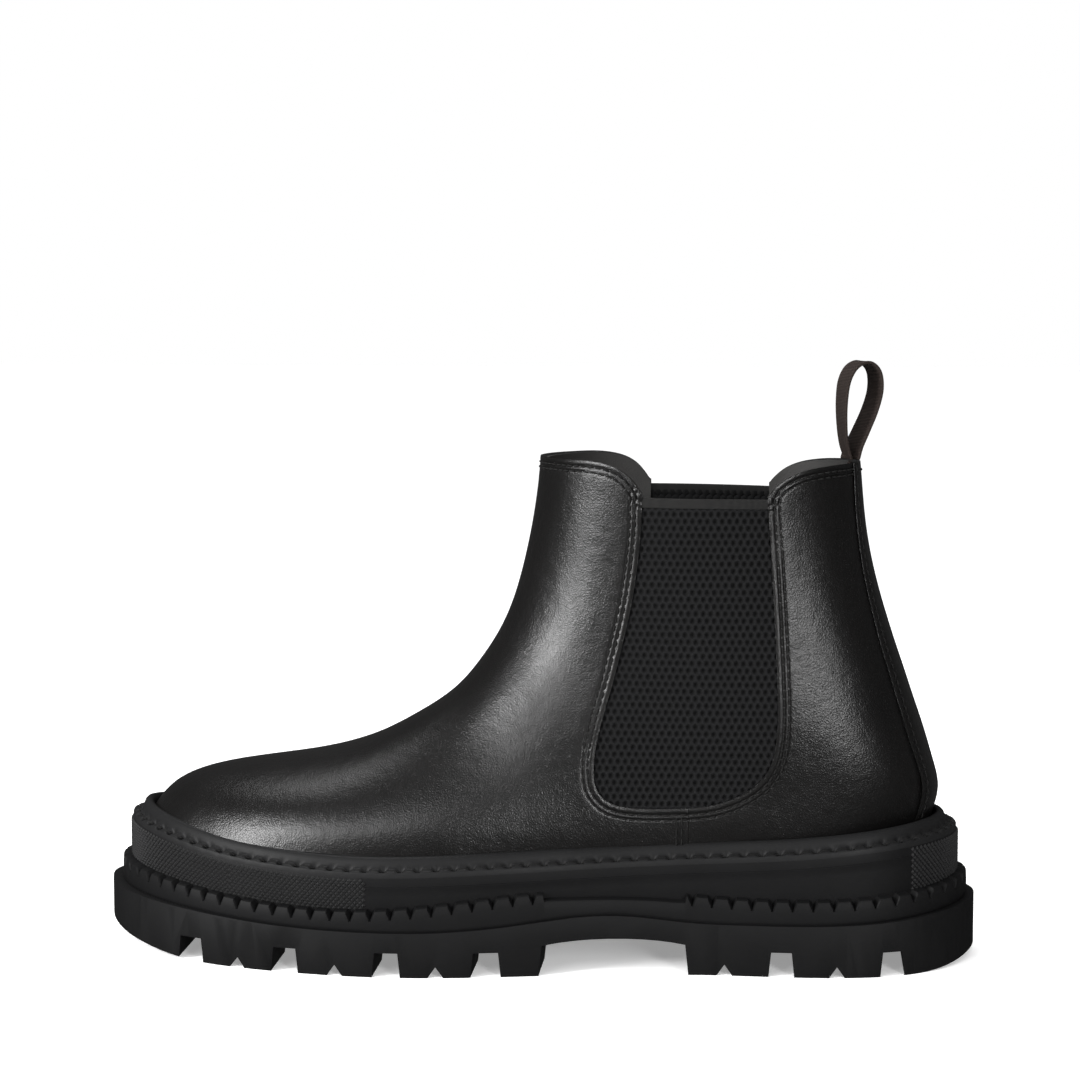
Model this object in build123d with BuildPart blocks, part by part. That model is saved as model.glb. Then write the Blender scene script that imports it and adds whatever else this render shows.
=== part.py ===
"""Left chelsea boot on a lugged rubber sole, in millimetres.

The toe points along -X, the outer (lateral) side is -Y and +Z is up.
The origin is on the ground, at the middle of the boot's length and width.
"""

import math
import os

from build123d import *

# Driving dimensions -------------------------------------------------------------------

LEATHER = 2.0  # upper leather
LINING = 1.1  # lining leather
STIFFENER = 1.0  # toe puff and heel counter, between leather and lining
FIT = 0.05  # clearance between layers that are glued on the real boot
SEAM_GAP = 0.4  # clearance between pieces that meet edge to edge

WELT_EDGE = 6.2  # how far each sole layer stands out from the foot of the upper
MIDSOLE_EDGE = 6.6
RAND_EDGE = 10.0
OUTSOLE_EDGE = 10.9
BEAD_WIDTH = 2.0
BEAD_HEIGHT = 6.5
TOE_FLARE = 0.04  # how much more the layers stand out at the toe, per mm of standing out
HEEL_FLARE = 0.027
FLARE_FROM = 70.0  # distance from the middle at which the flare starts
FLARE_LENGTH = 72.0
SHELF = 3.0  # thickness of the flat part of the welt
LASTING_MARGIN = 14.0  # how far the leather is turned in under the foot

BOARD = 2.0
FOOTBED = 3.2
LUG_DEPTH = 8.5
LUG_REACH = 25.0  # how far the side lugs run in from the edge of the sole
GUSSET_THICKNESS = 1.5
BACKSTAY_THICKNESS = 1.2
SHANK_X = 52.0  # middle of the shank
SHANK_LENGTH = 104.0
SHANK_WIDTH = 14.0
SHANK_THICKNESS = 1.5
SHANK_FLOOR = 1.25  # above the top of the midsole

TOOTH_PITCH = 6.9
TOOTH_DEPTH = 3.2
TOOTH_MOUTH = 2.6
STITCH_PITCH = 6.2
STITCH_LENGTH = 4.2
STITCH_RADIUS = 0.4
STITCH_OUT = 2.0  # from the bead to the line of stitches
STITCH_LIFT = 0.7  # clear of the shelf

FLEX_Z = 105.3  # height at which the front of the shaft folds
TOP = 200.0  # above everything but the pull loop
FAR = 175.0  # outside the boot, along X
SOLE_TOP = 80.0  # above every layer of the sole

# Plan of the foot of the upper, from the toe tip round the lateral side to the heel.
LATERAL = [
    (-142.0, 7.0), (-135.5, -9.5), (-119.0, -25.5), (-98.0, -37.0), (-75.0, -44.0),
    (-50.0, -47.2), (-25.0, -45.6), (5.0, -40.0), (35.0, -35.5), (65.0, -34.0),
    (95.0, -34.5), (119.0, -30.0), (134.8, -17.3), (140.9, 0.0),
]  # fmt: skip
MEDIAL = [
    (134.8, 17.3), (119.0, 30.0), (95.0, 33.5), (65.0, 31.0), (35.0, 29.5),
    (5.0, 33.0), (-25.0, 41.5), (-50.0, 46.4), (-75.0, 46.8), (-98.0, 43.5),
    (-119.0, 36.0), (-135.5, 22.5),
]  # fmt: skip

# Heights of the layers along the sole, as (x, z).
FOOT_OF_UPPER = [
    (-FAR, 44.5), (-142.0, 42.3), (-118.0, 38.0), (-98.0, 35.6), (-78.0, 34.2),
    (-57.0, 33.7), (-37.0, 34.1), (-17.0, 34.8), (4.0, 35.6), (27.0, 36.6),
    (60.0, 38.1), (93.0, 40.1), (117.0, 42.3), (144.0, 44.6), (FAR, 46.0),
]  # fmt: skip
TOOTH_CREST = [
    (-FAR, 33.0), (-155.0, 30.0), (-118.0, 24.8), (-97.0, 23.2), (-80.0, 22.4),
    (-56.0, 22.4), (-35.0, 23.6), (-13.0, 26.2), (5.0, 28.2), (25.0, 28.8),
    (52.0, 27.4), (76.0, 25.9), (105.0, 26.2), (126.0, 27.0), (142.0, 28.4),
    (155.0, 31.0), (FAR, 33.5),
]  # fmt: skip
OUTSOLE_TOP = [
    (-FAR, 23.0), (-155.0, 21.0), (-140.0, 19.6), (-116.0, 17.9), (-97.0, 16.6),
    (-80.0, 15.8), (-57.0, 15.4), (-35.0, 15.5), (-16.0, 16.5), (-2.0, 17.9),
    (10.0, 19.5), (22.0, 20.5), (34.0, 20.4), (44.0, 19.4), (55.0, 18.2),
    (75.0, 17.6), (107.0, 18.0), (130.0, 19.2), (155.0, 21.6), (FAR, 23.5),
]  # fmt: skip

# Underside of the tread, sprung up at the toe and bevelled at the heel.
TOE_SPRING = [(-FAR, 17.5), (-158.0, 8.2), (-135.0, 2.2), (-108.0, 0.0)]
HEEL_SPRING = [(130.0, 0.0), (146.0, 1.3), (156.0, 4.2), (FAR, 16.0)]
CHANNELS = [(-119.5, 8.0), (-84.0, 8.0), (-48.0, 8.0), (-14.0, 8.5), (87.0, 7.0), (125.0, 6.5)]
CHANNEL_DRAFT = 1.0
EDGE_NOTCHES = [-101.5, -66.0, -31.0, 67.5, 106.0]
NOTCH_HALF = 3.4
NOTCH_DEPTH = 3.8
WAIST_ARCH = [(5.0, 10.5), (30.0, 12.6), (54.0, 10.5)]
STAR_LUGS = [
    (-118.0, 5.0, 9.0), (-101.0, 4.0, 12.0), (-66.0, 1.0, 14.0), (-31.0, -1.0, 13.0),
    (70.0, -1.0, 9.5), (105.0, -0.5, 8.5),
]  # fmt: skip

FOREFOOT_END = 5.0  # the tread and the teeth stop here, at the waist
HEEL_START = 54.0
WAIST_DROP = 2.6  # how much lower the rand is at the waist

# Side view of the elastic panel, from its top front corner round to its top back one.
GUSSET_FRONT = [
    (38.0, 164.0), (37.4, 149.0), (34.7, 128.2), (29.3, 104.0), (23.7, 83.0), (21.8, 70.0),
]  # fmt: skip
GUSSET_FOOT = [
    (21.8, 70.0), (23.6, 61.5), (31.0, 56.8), (48.0, 56.0), (64.0, 57.6), (76.0, 63.0),
    (82.6, 71.0),
]  # fmt: skip
GUSSET_BACK = [(82.6, 71.0), (85.0, 84.0), (84.6, 105.0), (82.9, 135.0), (81.0, 162.6)]
SIDE_SEAM_X = 54.5  # where the vamp meets the quarter, below the elastic

# Top edge of the leather in side view, front and back.
TOPLINE_FRONT = [
    (-10.0, 175.6), (8.0, 176.0), (20.0, 175.8), (28.5, 174.0), (34.0, 170.4), (38.2, 164.6),
]  # fmt: skip
TOPLINE_BACK = [
    (80.8, 162.8), (84.0, 168.0), (91.0, 172.0), (100.0, 173.9), (110.0, 174.6), (130.0, 174.8),
]  # fmt: skip

# Cross-sections of the boot, fanned round the instep. Each runs from a point under the
# foot or at the back, to a point on top of the foot or at the front of the shaft:
# (back x, back z, front x, front z, sideways offset, share of the length at which the
# first width is taken, then half widths near the back, at 30%, at 70% and near the front).
SECTIONS = [
    (-141.2, 30.0, -142.4, 49.0, 7.0, 0.15, 7.0, 9.2, 8.0, 4.2),
    (-138.4, 29.5, -139.4, 52.9, 7.0, 0.15, 15.0, 17.0, 13.8, 6.5),
    (-131.4, 29.0, -132.2, 57.9, 6.3, 0.15, 23.5, 26.2, 21.2, 10.2),
    (-117.9, 28.0, -118.6, 62.2, 5.2, 0.15, 32.0, 34.6, 28.6, 14.2),
    (-98.8, 27.0, -100.0, 65.2, 3.3, 0.15, 39.8, 42.0, 35.0, 18.0),
    (-75.4, 26.0, -79.5, 68.3, 1.5, 0.15, 44.4, 46.0, 38.0, 20.0),
    (-49.8, 25.6, -60.0, 74.2, 0.0, 0.13, 45.0, 46.2, 37.2, 19.4),
    (-17.5, 26.5, -43.5, 83.2, -1.6, 0.12, 41.4, 43.6, 34.2, 17.6),
    (19.7, 28.8, -30.0, 92.2, -2.6, 0.10, 34.4, 38.0, 32.0, 17.0),
    (64.6, 31.7, -21.5, 102.3, -1.4, 0.08, 31.4, 35.2, 33.2, 18.4),
    (109.6, 35.3, -14.3, 113.2, -0.4, 0.07, 28.6, 34.4, 34.0, 19.0),
    (132.6, 41.5, -9.6, 124.0, 0.0, 0.05, 21.0, 34.2, 34.2, 19.0),
    (140.8, 56.5, -6.6, 134.4, 0.0, 0.06, 21.5, 33.8, 34.2, 19.0),
    (138.1, 71.0, -4.6, 142.8, 0.0, 0.06, 20.8, 33.2, 33.9, 18.6),
    (133.5, 85.5, -3.0, 150.4, 0.0, 0.06, 20.2, 32.4, 33.6, 18.6),
    (126.5, 106.0, -1.7, 158.2, 0.0, 0.06, 19.4, 31.8, 33.6, 18.4),
    (119.8, 127.0, -0.7, 165.6, 0.0, 0.06, 18.6, 31.6, 33.6, 18.2),
    (115.0, 148.0, 0.1, 172.4, 0.0, 0.06, 18.0, 31.8, 33.6, 18.0),
    (112.0, 176.0, 0.7, 182.0, 0.0, 0.06, 17.6, 32.2, 33.6, 18.0),
]  # fmt: skip
FAN_STEPS = 2  # cross-sections made from each one listed
FAN_RUN = 12  # cross-sections under one smooth surface
NEAR_FRONT = 0.94
BELLY = (0.3, 0.7)

# Pull loop, in its own plane: its outer face, from the base up the front and down the back.
LOOP_BASE = (109.2, 176.0)
LOOP_OUTER = [
    (-1.3, 0.0), (-3.1, 4.5), (-4.3, 11.0), (-4.6, 19.0), (-3.7, 27.0), (-0.2, 32.2),
    (5.4, 33.8), (9.8, 30.3), (10.8, 23.5), (8.8, 16.0), (5.2, 8.5), (2.4, 3.5), (1.3, 0.0),
]  # fmt: skip
LOOP_FORK = 2.6  # height at which the two strands part
TAPE_WIDTH = 10.0
TAPE_THICKNESS = 1.2
LOOP_TWIST = 12.0  # degrees about +Z

os.makedirs("parts", exist_ok=True)


# Helpers ------------------------------------------------------------------------------

def height_at(curve, x):
    """Height of one of the (x, z) lists at x, by straight lines between its points."""
    for (x0, z0), (x1, z1) in zip(curve, curve[1:]):
        if x0 <= x <= x1:
            return z0 + (z1 - z0) * (x - x0) / (x1 - x0)
    raise ValueError("x is outside the curve")


def outline_points(grow):
    """The plan of the upper's foot, moved outwards by grow, and more at toe and heel."""
    points = LATERAL + MEDIAL
    moved = []
    for i, (x, y) in enumerate(points):
        x0, y0 = points[i - 1]
        x1, y1 = points[(i + 1) % len(points)]
        length = math.hypot(x1 - x0, y1 - y0)
        toe = min(1.0, max(0.0, (-x - FLARE_FROM) / FLARE_LENGTH))
        heel = min(1.0, max(0.0, (x - FLARE_FROM) / FLARE_LENGTH))
        flare = TOE_FLARE * toe**2 + HEEL_FLARE * heel**2
        reach = grow + flare * abs(grow) * grow
        moved.append((x + reach * (y1 - y0) / length, y - reach * (x1 - x0) / length))
    return moved


def outline_edge(grow):
    """The same outline as one closed edge at z = 0."""
    return Spline(*outline_points(grow), periodic=True, mode=Mode.PRIVATE)


def column(grow, top=TOP):
    """The outline as an upright block from the ground."""
    with BuildPart() as block:
        with BuildSketch():
            with BuildLine():
                Spline(*outline_points(grow), periodic=True)
            make_face()
        extrude(amount=top)
    return block.part


def between(low, high, lift_low=0.0, lift_high=0.0):
    """Everything between two (x, z) height curves, across the boot's whole width."""
    with BuildPart() as slab:
        with BuildSketch(Plane.XZ):
            with BuildLine():
                under = Spline(*[(x, z + lift_low) for x, z in low])
                over = Spline(*[(x, z + lift_high) for x, z in high])
                Line(under @ 0, over @ 0)
                Line(under @ 1, over @ 1)
            make_face()
        extrude(amount=FAR, both=True)
    return slab.part


def above(low, lift=0.0):
    """Everything above a height curve."""
    return between(low, [(-FAR, TOP), (0.0, TOP), (FAR, TOP)], lift, 0.0)


def between_rows(rows, steps):
    """The rows with smoothly blended ones added between them."""
    blended = []
    for i in range(len(rows) - 1):
        last = len(rows) - 1
        four = [rows[max(i - 1, 0)], rows[i], rows[i + 1], rows[min(i + 2, last)]]
        for step in range(steps):
            t = step / steps
            blended.append(
                [
                    b + 0.5 * t * (c - a + t * (2 * a - 5 * b + 4 * c - d + t * (3 * b - a - 3 * c + d)))
                    for a, b, c, d in zip(*four)
                ]
            )
    return [*blended, rows[-1]]


def section_points(row, inset):
    """Plane and corner points of one cross-section, moved in from the skin by inset."""
    back_x, back_z, front_x, front_z, shift, near, *widths = row
    toe = min(1.0, max(0.0, (-92.0 - back_x) / 40.0))
    back_x += inset * toe
    front_x += inset * toe
    length = math.hypot(front_x - back_x, front_z - back_z)
    along = Vector(front_x - back_x, 0, front_z - back_z) / length
    plane = Plane(origin=(back_x, 0, back_z), x_dir=along, z_dir=(-along.Z, 0, along.X))
    shrink = (length - 2 * inset) / length
    stations = [inset + shrink * length * share for share in (near, *BELLY, NEAR_FRONT)]
    widest = max(widths)
    halves = [width * (widest - inset) / widest for width in widths]
    side = list(zip(stations, halves))
    near_side = [(s, shift - half) for s, half in side]
    far_side = [(s, shift + half) for s, half in reversed(side)]
    return plane, [(inset, shift), *near_side, (length - inset, shift), *far_side]


def boot_form(inset):
    """The whole boot above the sole as one solid, its skin moved in by inset."""
    sections = []
    for row in between_rows(SECTIONS, FAN_STEPS):
        plane, points = section_points(row, inset)
        with BuildSketch(plane) as section:
            with BuildLine():
                Spline(*points, periodic=True)
            make_face()
        sections.append(section.sketch.faces()[0])
    sides = []
    for first in range(0, len(sections) - 1, FAN_RUN):
        run = Solid.make_loft([section.outer_wire() for section in sections[first : first + FAN_RUN + 1]])
        sides += run.faces().filter_by(GeomType.PLANE, reverse=True)
    return Solid(Shell([sections[0], *sides, sections[-1]]))


def layer(outer, inner, floor_outer, floor_inner):
    """A skin of the boot between two insets, turned in under the foot."""
    with BuildPart() as hollow:
        add(boot_form(inner))
        add(above(FOOT_OF_UPPER, floor_inner), mode=Mode.INTERSECT)
    with BuildPart() as shell:
        add(boot_form(outer))
        add(above(FOOT_OF_UPPER, floor_outer), mode=Mode.INTERSECT)
        add(hollow.part, mode=Mode.SUBTRACT)
        add(column(-LASTING_MARGIN, FOOT_OF_UPPER[0][1] + floor_inner + 1.0), mode=Mode.SUBTRACT)
    return shell.part


def side_block(*curves):
    """A block across the boot whose side view is the closed loop of these point lists."""
    with BuildPart() as block:
        with BuildSketch(Plane.XZ):
            with BuildLine():
                for points in curves:
                    if len(points) == 2:
                        Line(*points)
                    else:
                        Spline(*points)
            make_face()
        extrude(amount=FAR, both=True)
    return block.part


def cut(body, *keeps, without=()):
    """The part of body that is inside every block of keeps and outside those of without."""
    with BuildPart() as piece:
        add(body)
        for block in keeps:
            add(block, mode=Mode.INTERSECT)
        for block in without:
            add(block, mode=Mode.SUBTRACT)
    return piece


def save(piece, name):
    """Labels a finished piece and writes its STEP file."""
    piece.part.label = name
    export_step(piece.part, f"parts/{name}.step")
    box = piece.part.bounding_box()
    print(name, len(piece.part.solids()), round(piece.part.volume), box.min, box.max)


# Side-view blocks that cut the upper into its panels ------------------------------------

def front_block(gap):
    """In front of the elastic and the side seam, below the front topline."""
    front = [(x - gap, z) for x, z in GUSSET_FRONT]
    foot = [(x, z - gap) for x, z in GUSSET_FOOT if x < SIDE_SEAM_X]
    seam_top = (SIDE_SEAM_X - gap / 2, 56.4 - gap)
    topline = [(x - gap, z) for x, z in TOPLINE_FRONT]
    return side_block(
        topline,
        [topline[-1], front[0]],
        front,
        [front[-1], *foot[1:], seam_top],
        [seam_top, (seam_top[0], 20.0)],
        [(seam_top[0], 20.0), (-FAR, 20.0)],
        [(-FAR, 20.0), (-FAR, topline[0][1])],
        [(-FAR, topline[0][1]), topline[0]],
    )


def back_block(gap):
    """Behind the elastic and the side seam, below the back topline."""
    back = [(x + gap, z) for x, z in GUSSET_BACK]
    foot = [(x, z - gap) for x, z in GUSSET_FOOT if x > SIDE_SEAM_X]
    seam_top = (SIDE_SEAM_X + gap / 2, 56.4 - gap)
    topline = [(x + gap, z) for x, z in TOPLINE_BACK]
    return side_block(
        topline,
        [topline[0], back[-1]],
        back,
        [seam_top, *foot[:-1], back[0]],
        [seam_top, (seam_top[0], 20.0)],
        [(seam_top[0], 20.0), (FAR, 20.0)],
        [(FAR, 20.0), (FAR, topline[-1][1])],
        [(FAR, topline[-1][1]), topline[-1]],
    )


def gusset_block():
    """The elastic panel itself."""
    return side_block(
        GUSSET_FRONT, GUSSET_FOOT, GUSSET_BACK, [GUSSET_BACK[-1], GUSSET_FRONT[0]]
    )


def half_space(side):
    """The lateral (-1) or medial (+1) half of the boot, a seam's width from the middle."""
    with BuildPart() as half:
        with Locations((0, side * (FAR / 2 + SEAM_GAP / 4), TOP / 2)):
            Box(2 * FAR, FAR, TOP)
    return half.part


# Sole -----------------------------------------------------------------------------------

def tread_block():
    """Side view of the outsole: flat on the ground, sprung at the toe and the heel."""
    with BuildPart() as block:
        with BuildSketch(Plane.XZ):
            with BuildLine():
                over = Spline(*OUTSOLE_TOP)
                toe = Spline(*TOE_SPRING, tangents=[(1, -0.6), (1, 0)])
                Line(toe @ 1, HEEL_SPRING[0])
                heel = Spline(*HEEL_SPRING, tangents=[(1, 0), (1, 1)])
                Line(toe @ 0, over @ 0)
                Line(heel @ 1, over @ 1)
            make_face()
        extrude(amount=FAR, both=True)
    return block.part


def channel(x, width):
    """One channel between lugs, open to the ground and a little wider there."""
    half = width / 2
    mouth = half + CHANNEL_DRAFT
    with BuildPart() as block:
        with BuildSketch(Plane.XZ):
            with BuildLine():
                Polyline(
                    (x - mouth, -1.0), (x - half, LUG_DEPTH),
                    (x + half, LUG_DEPTH), (x + mouth, -1.0), close=True,
                )  # fmt: skip
            make_face()
        extrude(amount=FAR, both=True)
    return block.part


def edge_notch(x):
    """A shallow V across the ground edge of a lug."""
    with BuildPart() as block:
        with BuildSketch(Plane.XZ):
            with BuildLine():
                Polyline((x - NOTCH_HALF, -1.0), (x, NOTCH_DEPTH), (x + NOTCH_HALF, -1.0), close=True)
            make_face()
        extrude(amount=FAR, both=True)
    return block.part


def waist_arch():
    """The space under the raised waist."""
    start = (FOREFOOT_END - 1.2, -1.0)
    end = (HEEL_START + 1.2, -1.0)
    with BuildPart() as block:
        with BuildSketch(Plane.XZ):
            with BuildLine():
                arch = Spline(*WAIST_ARCH, tangents=[(1, 0.2), (1, -0.2)])
                Line(arch @ 0, start)
                Line(arch @ 1, end)
                Line(start, end)
            make_face()
        extrude(amount=FAR, both=True)
    return block.part


def star(x, y, reach):
    """Corners of a four-pointed star."""
    corners = []
    for corner in range(8):
        radius = reach if corner % 2 == 0 else 0.55 * reach
        angle = math.radians(45.0 * corner)
        corners.append((x + radius * math.cos(angle), y + radius * math.sin(angle)))
    return corners


def centre_lugs():
    """Four-pointed lugs down the middle of the tread."""
    with BuildPart() as lugs:
        with BuildSketch():
            for x, y, reach in STAR_LUGS:
                with BuildLine():
                    Polyline(*star(x, y, reach), close=True)
                make_face()
        extrude(amount=LUG_DEPTH + 0.5)
    return lugs.part


def outsole():
    """Rubber outsole: one moulding with its lugs."""
    recess_depth = LUG_DEPTH - 1.0
    with BuildPart() as sole:
        add(column(OUTSOLE_EDGE, SOLE_TOP))
        add(tread_block(), mode=Mode.INTERSECT)
        add(column(OUTSOLE_EDGE - LUG_REACH, recess_depth), mode=Mode.SUBTRACT)
        for x, width in CHANNELS:
            add(channel(x, width), mode=Mode.SUBTRACT)
        for x in EDGE_NOTCHES:
            add(edge_notch(x), mode=Mode.SUBTRACT)
        add(waist_arch(), mode=Mode.SUBTRACT)
        add(cut(centre_lugs(), tread_block()).part)
    return sole


def tooth_notches():
    """V-shaped notches round the rand, at the forefoot and at the heel."""
    edge = outline_edge(RAND_EDGE)
    count = round(edge.length / TOOTH_PITCH)
    with BuildPart() as notches:
        for i in range(count):
            spot = edge @ (i / count)
            tangent = edge % (i / count)
            if FOREFOOT_END - 1.5 < spot.X < HEEL_START + 1.5:
                continue
            crest = height_at(TOOTH_CREST, spot.X)
            rise = height_at(TOOTH_CREST, spot.X + 1) - height_at(TOOTH_CREST, spot.X - 1)
            along = Vector(tangent.X, tangent.Y, tangent.X * rise / 2)
            outward = Vector(-tangent.Y, tangent.X, 0)
            face = Plane(origin=(spot.X, spot.Y, crest), x_dir=along, z_dir=outward)
            up = 1.0 if face.y_dir.Z > 0 else -1.0
            with BuildSketch(face):
                with BuildLine():
                    Polyline(
                        (-TOOTH_MOUTH / 2, up * 1.5), (-TOOTH_MOUTH / 2, 0.0), (0.0, -up * TOOTH_DEPTH),
                        (TOOTH_MOUTH / 2, 0.0), (TOOTH_MOUTH / 2, up * 1.5), close=True,
                    )  # fmt: skip
                make_face()
            extrude(amount=4.2, both=True)
    return notches.part


def rand():
    """Toothed rand that stands out round the sole, plain and lower at the waist."""
    with BuildPart() as waist:
        add(above(TOOTH_CREST, -WAIST_DROP))
        with Locations(((FOREFOOT_END + HEEL_START) / 2, 0, TOP / 2)):
            Box(HEEL_START - FOREFOOT_END, 2 * FAR, TOP, mode=Mode.INTERSECT)
    with BuildPart() as ring:
        add(column(RAND_EDGE, SOLE_TOP))
        add(between(OUTSOLE_TOP, TOOTH_CREST, FIT, 0.0), mode=Mode.INTERSECT)
        add(column(0.0, SOLE_TOP), mode=Mode.SUBTRACT)
        add(waist.part, mode=Mode.SUBTRACT)
        add(tooth_notches(), mode=Mode.SUBTRACT)
    return ring


def midsole():
    """Foam midsole: a core inside the rand and a wall above it, up to the welt."""
    with BuildPart() as wall:
        add(column(MIDSOLE_EDGE, SOLE_TOP))
        add(between(TOOTH_CREST, FOOT_OF_UPPER, FIT, -FIT), mode=Mode.INTERSECT)
    with BuildPart() as core:
        add(column(-FIT, SOLE_TOP))
        add(between(OUTSOLE_TOP, FOOT_OF_UPPER, FIT, -FIT), mode=Mode.INTERSECT)
        add(wall.part)
    return core


def welt(form):
    """Storm welt: a flat shelf for the stitches and a bead that closes on the leather."""
    with BuildPart() as bead:
        add(column(BEAD_WIDTH, SOLE_TOP))
        add(between(FOOT_OF_UPPER, FOOT_OF_UPPER, 0.0, BEAD_HEIGHT), mode=Mode.INTERSECT)
    with BuildPart() as strip:
        add(column(WELT_EDGE, SOLE_TOP))
        add(between(FOOT_OF_UPPER, FOOT_OF_UPPER, 0.0, SHELF), mode=Mode.INTERSECT)
        add(bead.part)
        add(form, mode=Mode.SUBTRACT)
    return strip


def welt_stitches():
    """The thread of the welt, as the short lengths that show on its shelf."""
    edge = outline_edge(BEAD_WIDTH + STITCH_OUT)
    count = round(edge.length / STITCH_PITCH)
    with BuildPart() as thread:
        for i in range(count):
            spot = edge @ (i / count)
            tangent = edge % (i / count)
            rise = height_at(FOOT_OF_UPPER, spot.X + 3) - height_at(FOOT_OF_UPPER, spot.X - 3)
            slope = rise / 6
            along = Vector(tangent.X, tangent.Y, tangent.X * slope)
            z = height_at(FOOT_OF_UPPER, spot.X) + SHELF + STITCH_RADIUS + STITCH_LIFT
            lying = Plane(origin=(spot.X, spot.Y, z), z_dir=along)
            with BuildSketch(lying.offset(-STITCH_LENGTH / 2)):
                Circle(STITCH_RADIUS)
            extrude(amount=STITCH_LENGTH)
    return thread


def filler():
    """Cork filler inside the lasting margin, with a bed for the shank."""
    with BuildPart() as bed:
        add(above(FOOT_OF_UPPER, SHANK_FLOOR - FIT))
        with Locations((SHANK_X, 0, TOP / 2)):
            Box(SHANK_LENGTH + SEAM_GAP, SHANK_WIDTH + SEAM_GAP, TOP, mode=Mode.INTERSECT)
    with BuildPart() as cork:
        add(column(-LASTING_MARGIN - SEAM_GAP, SOLE_TOP))
        add(between(FOOT_OF_UPPER, FOOT_OF_UPPER, 0.0, LEATHER + LINING), mode=Mode.INTERSECT)
        add(bed.part, mode=Mode.SUBTRACT)
    return cork


def shank():
    """Spring-steel shank along the waist."""
    with BuildPart() as steel:
        add(between(FOOT_OF_UPPER, FOOT_OF_UPPER, SHANK_FLOOR, SHANK_FLOOR + SHANK_THICKNESS))
        with Locations((SHANK_X, 0, TOP / 2)):
            Box(SHANK_LENGTH, SHANK_WIDTH, TOP, mode=Mode.INTERSECT)
    return steel


# Pull loop ------------------------------------------------------------------------------

def pull_loop():
    """Woven tape loop above the back of the topline."""
    inner = [(0.0, LOOP_FORK)]
    for before, (x, z), after in zip(LOOP_OUTER[1:], LOOP_OUTER[2:-2], LOOP_OUTER[3:]):
        run_x = after[0] - before[0]
        run_z = after[1] - before[1]
        length = math.hypot(run_x, run_z)
        inner.append((x + TAPE_THICKNESS * run_z / length, z - TAPE_THICKNESS * run_x / length))
    inner.append(inner[0])
    twist = math.radians(LOOP_TWIST)
    face = Plane(
        origin=(LOOP_BASE[0], 0, LOOP_BASE[1]),
        x_dir=(math.cos(twist), math.sin(twist), 0),
        z_dir=(math.sin(twist), -math.cos(twist), 0),
    )
    with BuildPart() as loop:
        with BuildSketch(face):
            with BuildLine():
                outer = Spline(*LOOP_OUTER)
                Line(outer @ 1, outer @ 0)
            make_face()
            with BuildLine():
                Spline(*inner)
            make_face(mode=Mode.SUBTRACT)
        extrude(amount=TAPE_WIDTH / 2, both=True)
    return loop


# The pieces -----------------------------------------------------------------------------

skin = boot_form(-FIT)
leather = layer(0.0, LEATHER, FIT, LEATHER)
lining_depth = LEATHER + STIFFENER + 2 * FIT
lining = layer(lining_depth, lining_depth + LINING, LEATHER + FIT, LEATHER + LINING + FIT)
with BuildPart() as stiffener_form:
    add(boot_form(LEATHER + FIT))
    add(boot_form(LEATHER + FIT + STIFFENER), mode=Mode.SUBTRACT)
    add(above(FOOT_OF_UPPER, LEATHER + LINING + 2 * FIT), mode=Mode.INTERSECT)
stiffener = stiffener_form.part

front = front_block(SEAM_GAP)
back = back_block(SEAM_GAP)
with BuildPart() as foot_half:
    with Locations((0, 0, FLEX_Z / 2)):
        Box(2 * FAR, 2 * FAR, FLEX_Z)
with BuildPart() as shaft_half:
    with Locations((0, 0, (FLEX_Z + SEAM_GAP + TOP) / 2)):
        Box(2 * FAR, 2 * FAR, TOP - FLEX_Z - SEAM_GAP)

save(outsole(), "outsole")
save(rand(), "toothed_rand")
save(midsole(), "midsole")
save(welt(skin), "welt")
save(welt_stitches(), "welt_stitches")
save(filler(), "cork_filler")
save(shank(), "steel_shank")

save(cut(leather, front, foot_half.part), "vamp")
save(cut(leather, front, shaft_half.part), "shaft_front")
save(cut(lining, front, foot_half.part), "vamp_lining")
save(cut(lining, front, shaft_half.part), "shaft_front_lining")
for side, name in ((-1, "lateral"), (1, "medial")):
    save(cut(leather, back, half_space(side)), f"quarter_{name}")
    save(cut(lining, back, half_space(side)), f"quarter_lining_{name}")

with BuildPart() as elastic_form:
    add(boot_form(0.3))
    add(boot_form(0.3 + GUSSET_THICKNESS), mode=Mode.SUBTRACT)
with BuildPart() as below_binding:
    with BuildSketch(Plane.XZ):
        with BuildLine():
            Polyline((0, 0), (120, 0), (120, 159.4), (0, 160.8), close=True)
        make_face()
    extrude(amount=FAR, both=True)
for side, name in ((-1, "lateral"), (1, "medial")):
    elastic = cut(elastic_form.part, gusset_block(), below_binding.part, half_space(side))
    save(elastic, f"elastic_gusset_{name}")
with BuildPart() as binding_form:
    add(boot_form(0.1))
    add(boot_form(2.1), mode=Mode.SUBTRACT)
with BuildPart() as binding_band:
    with BuildSketch(Plane.XZ):
        with BuildLine():
            Polyline((38.6, 160.6), (80.4, 160.1), (80.3, 163.2), (38.6, 163.7), close=True)
        make_face()
    extrude(amount=FAR, both=True)
for side, name in ((-1, "lateral"), (1, "medial")):
    save(cut(binding_form.part, binding_band.part, half_space(side)), f"gusset_binding_{name}")

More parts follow.
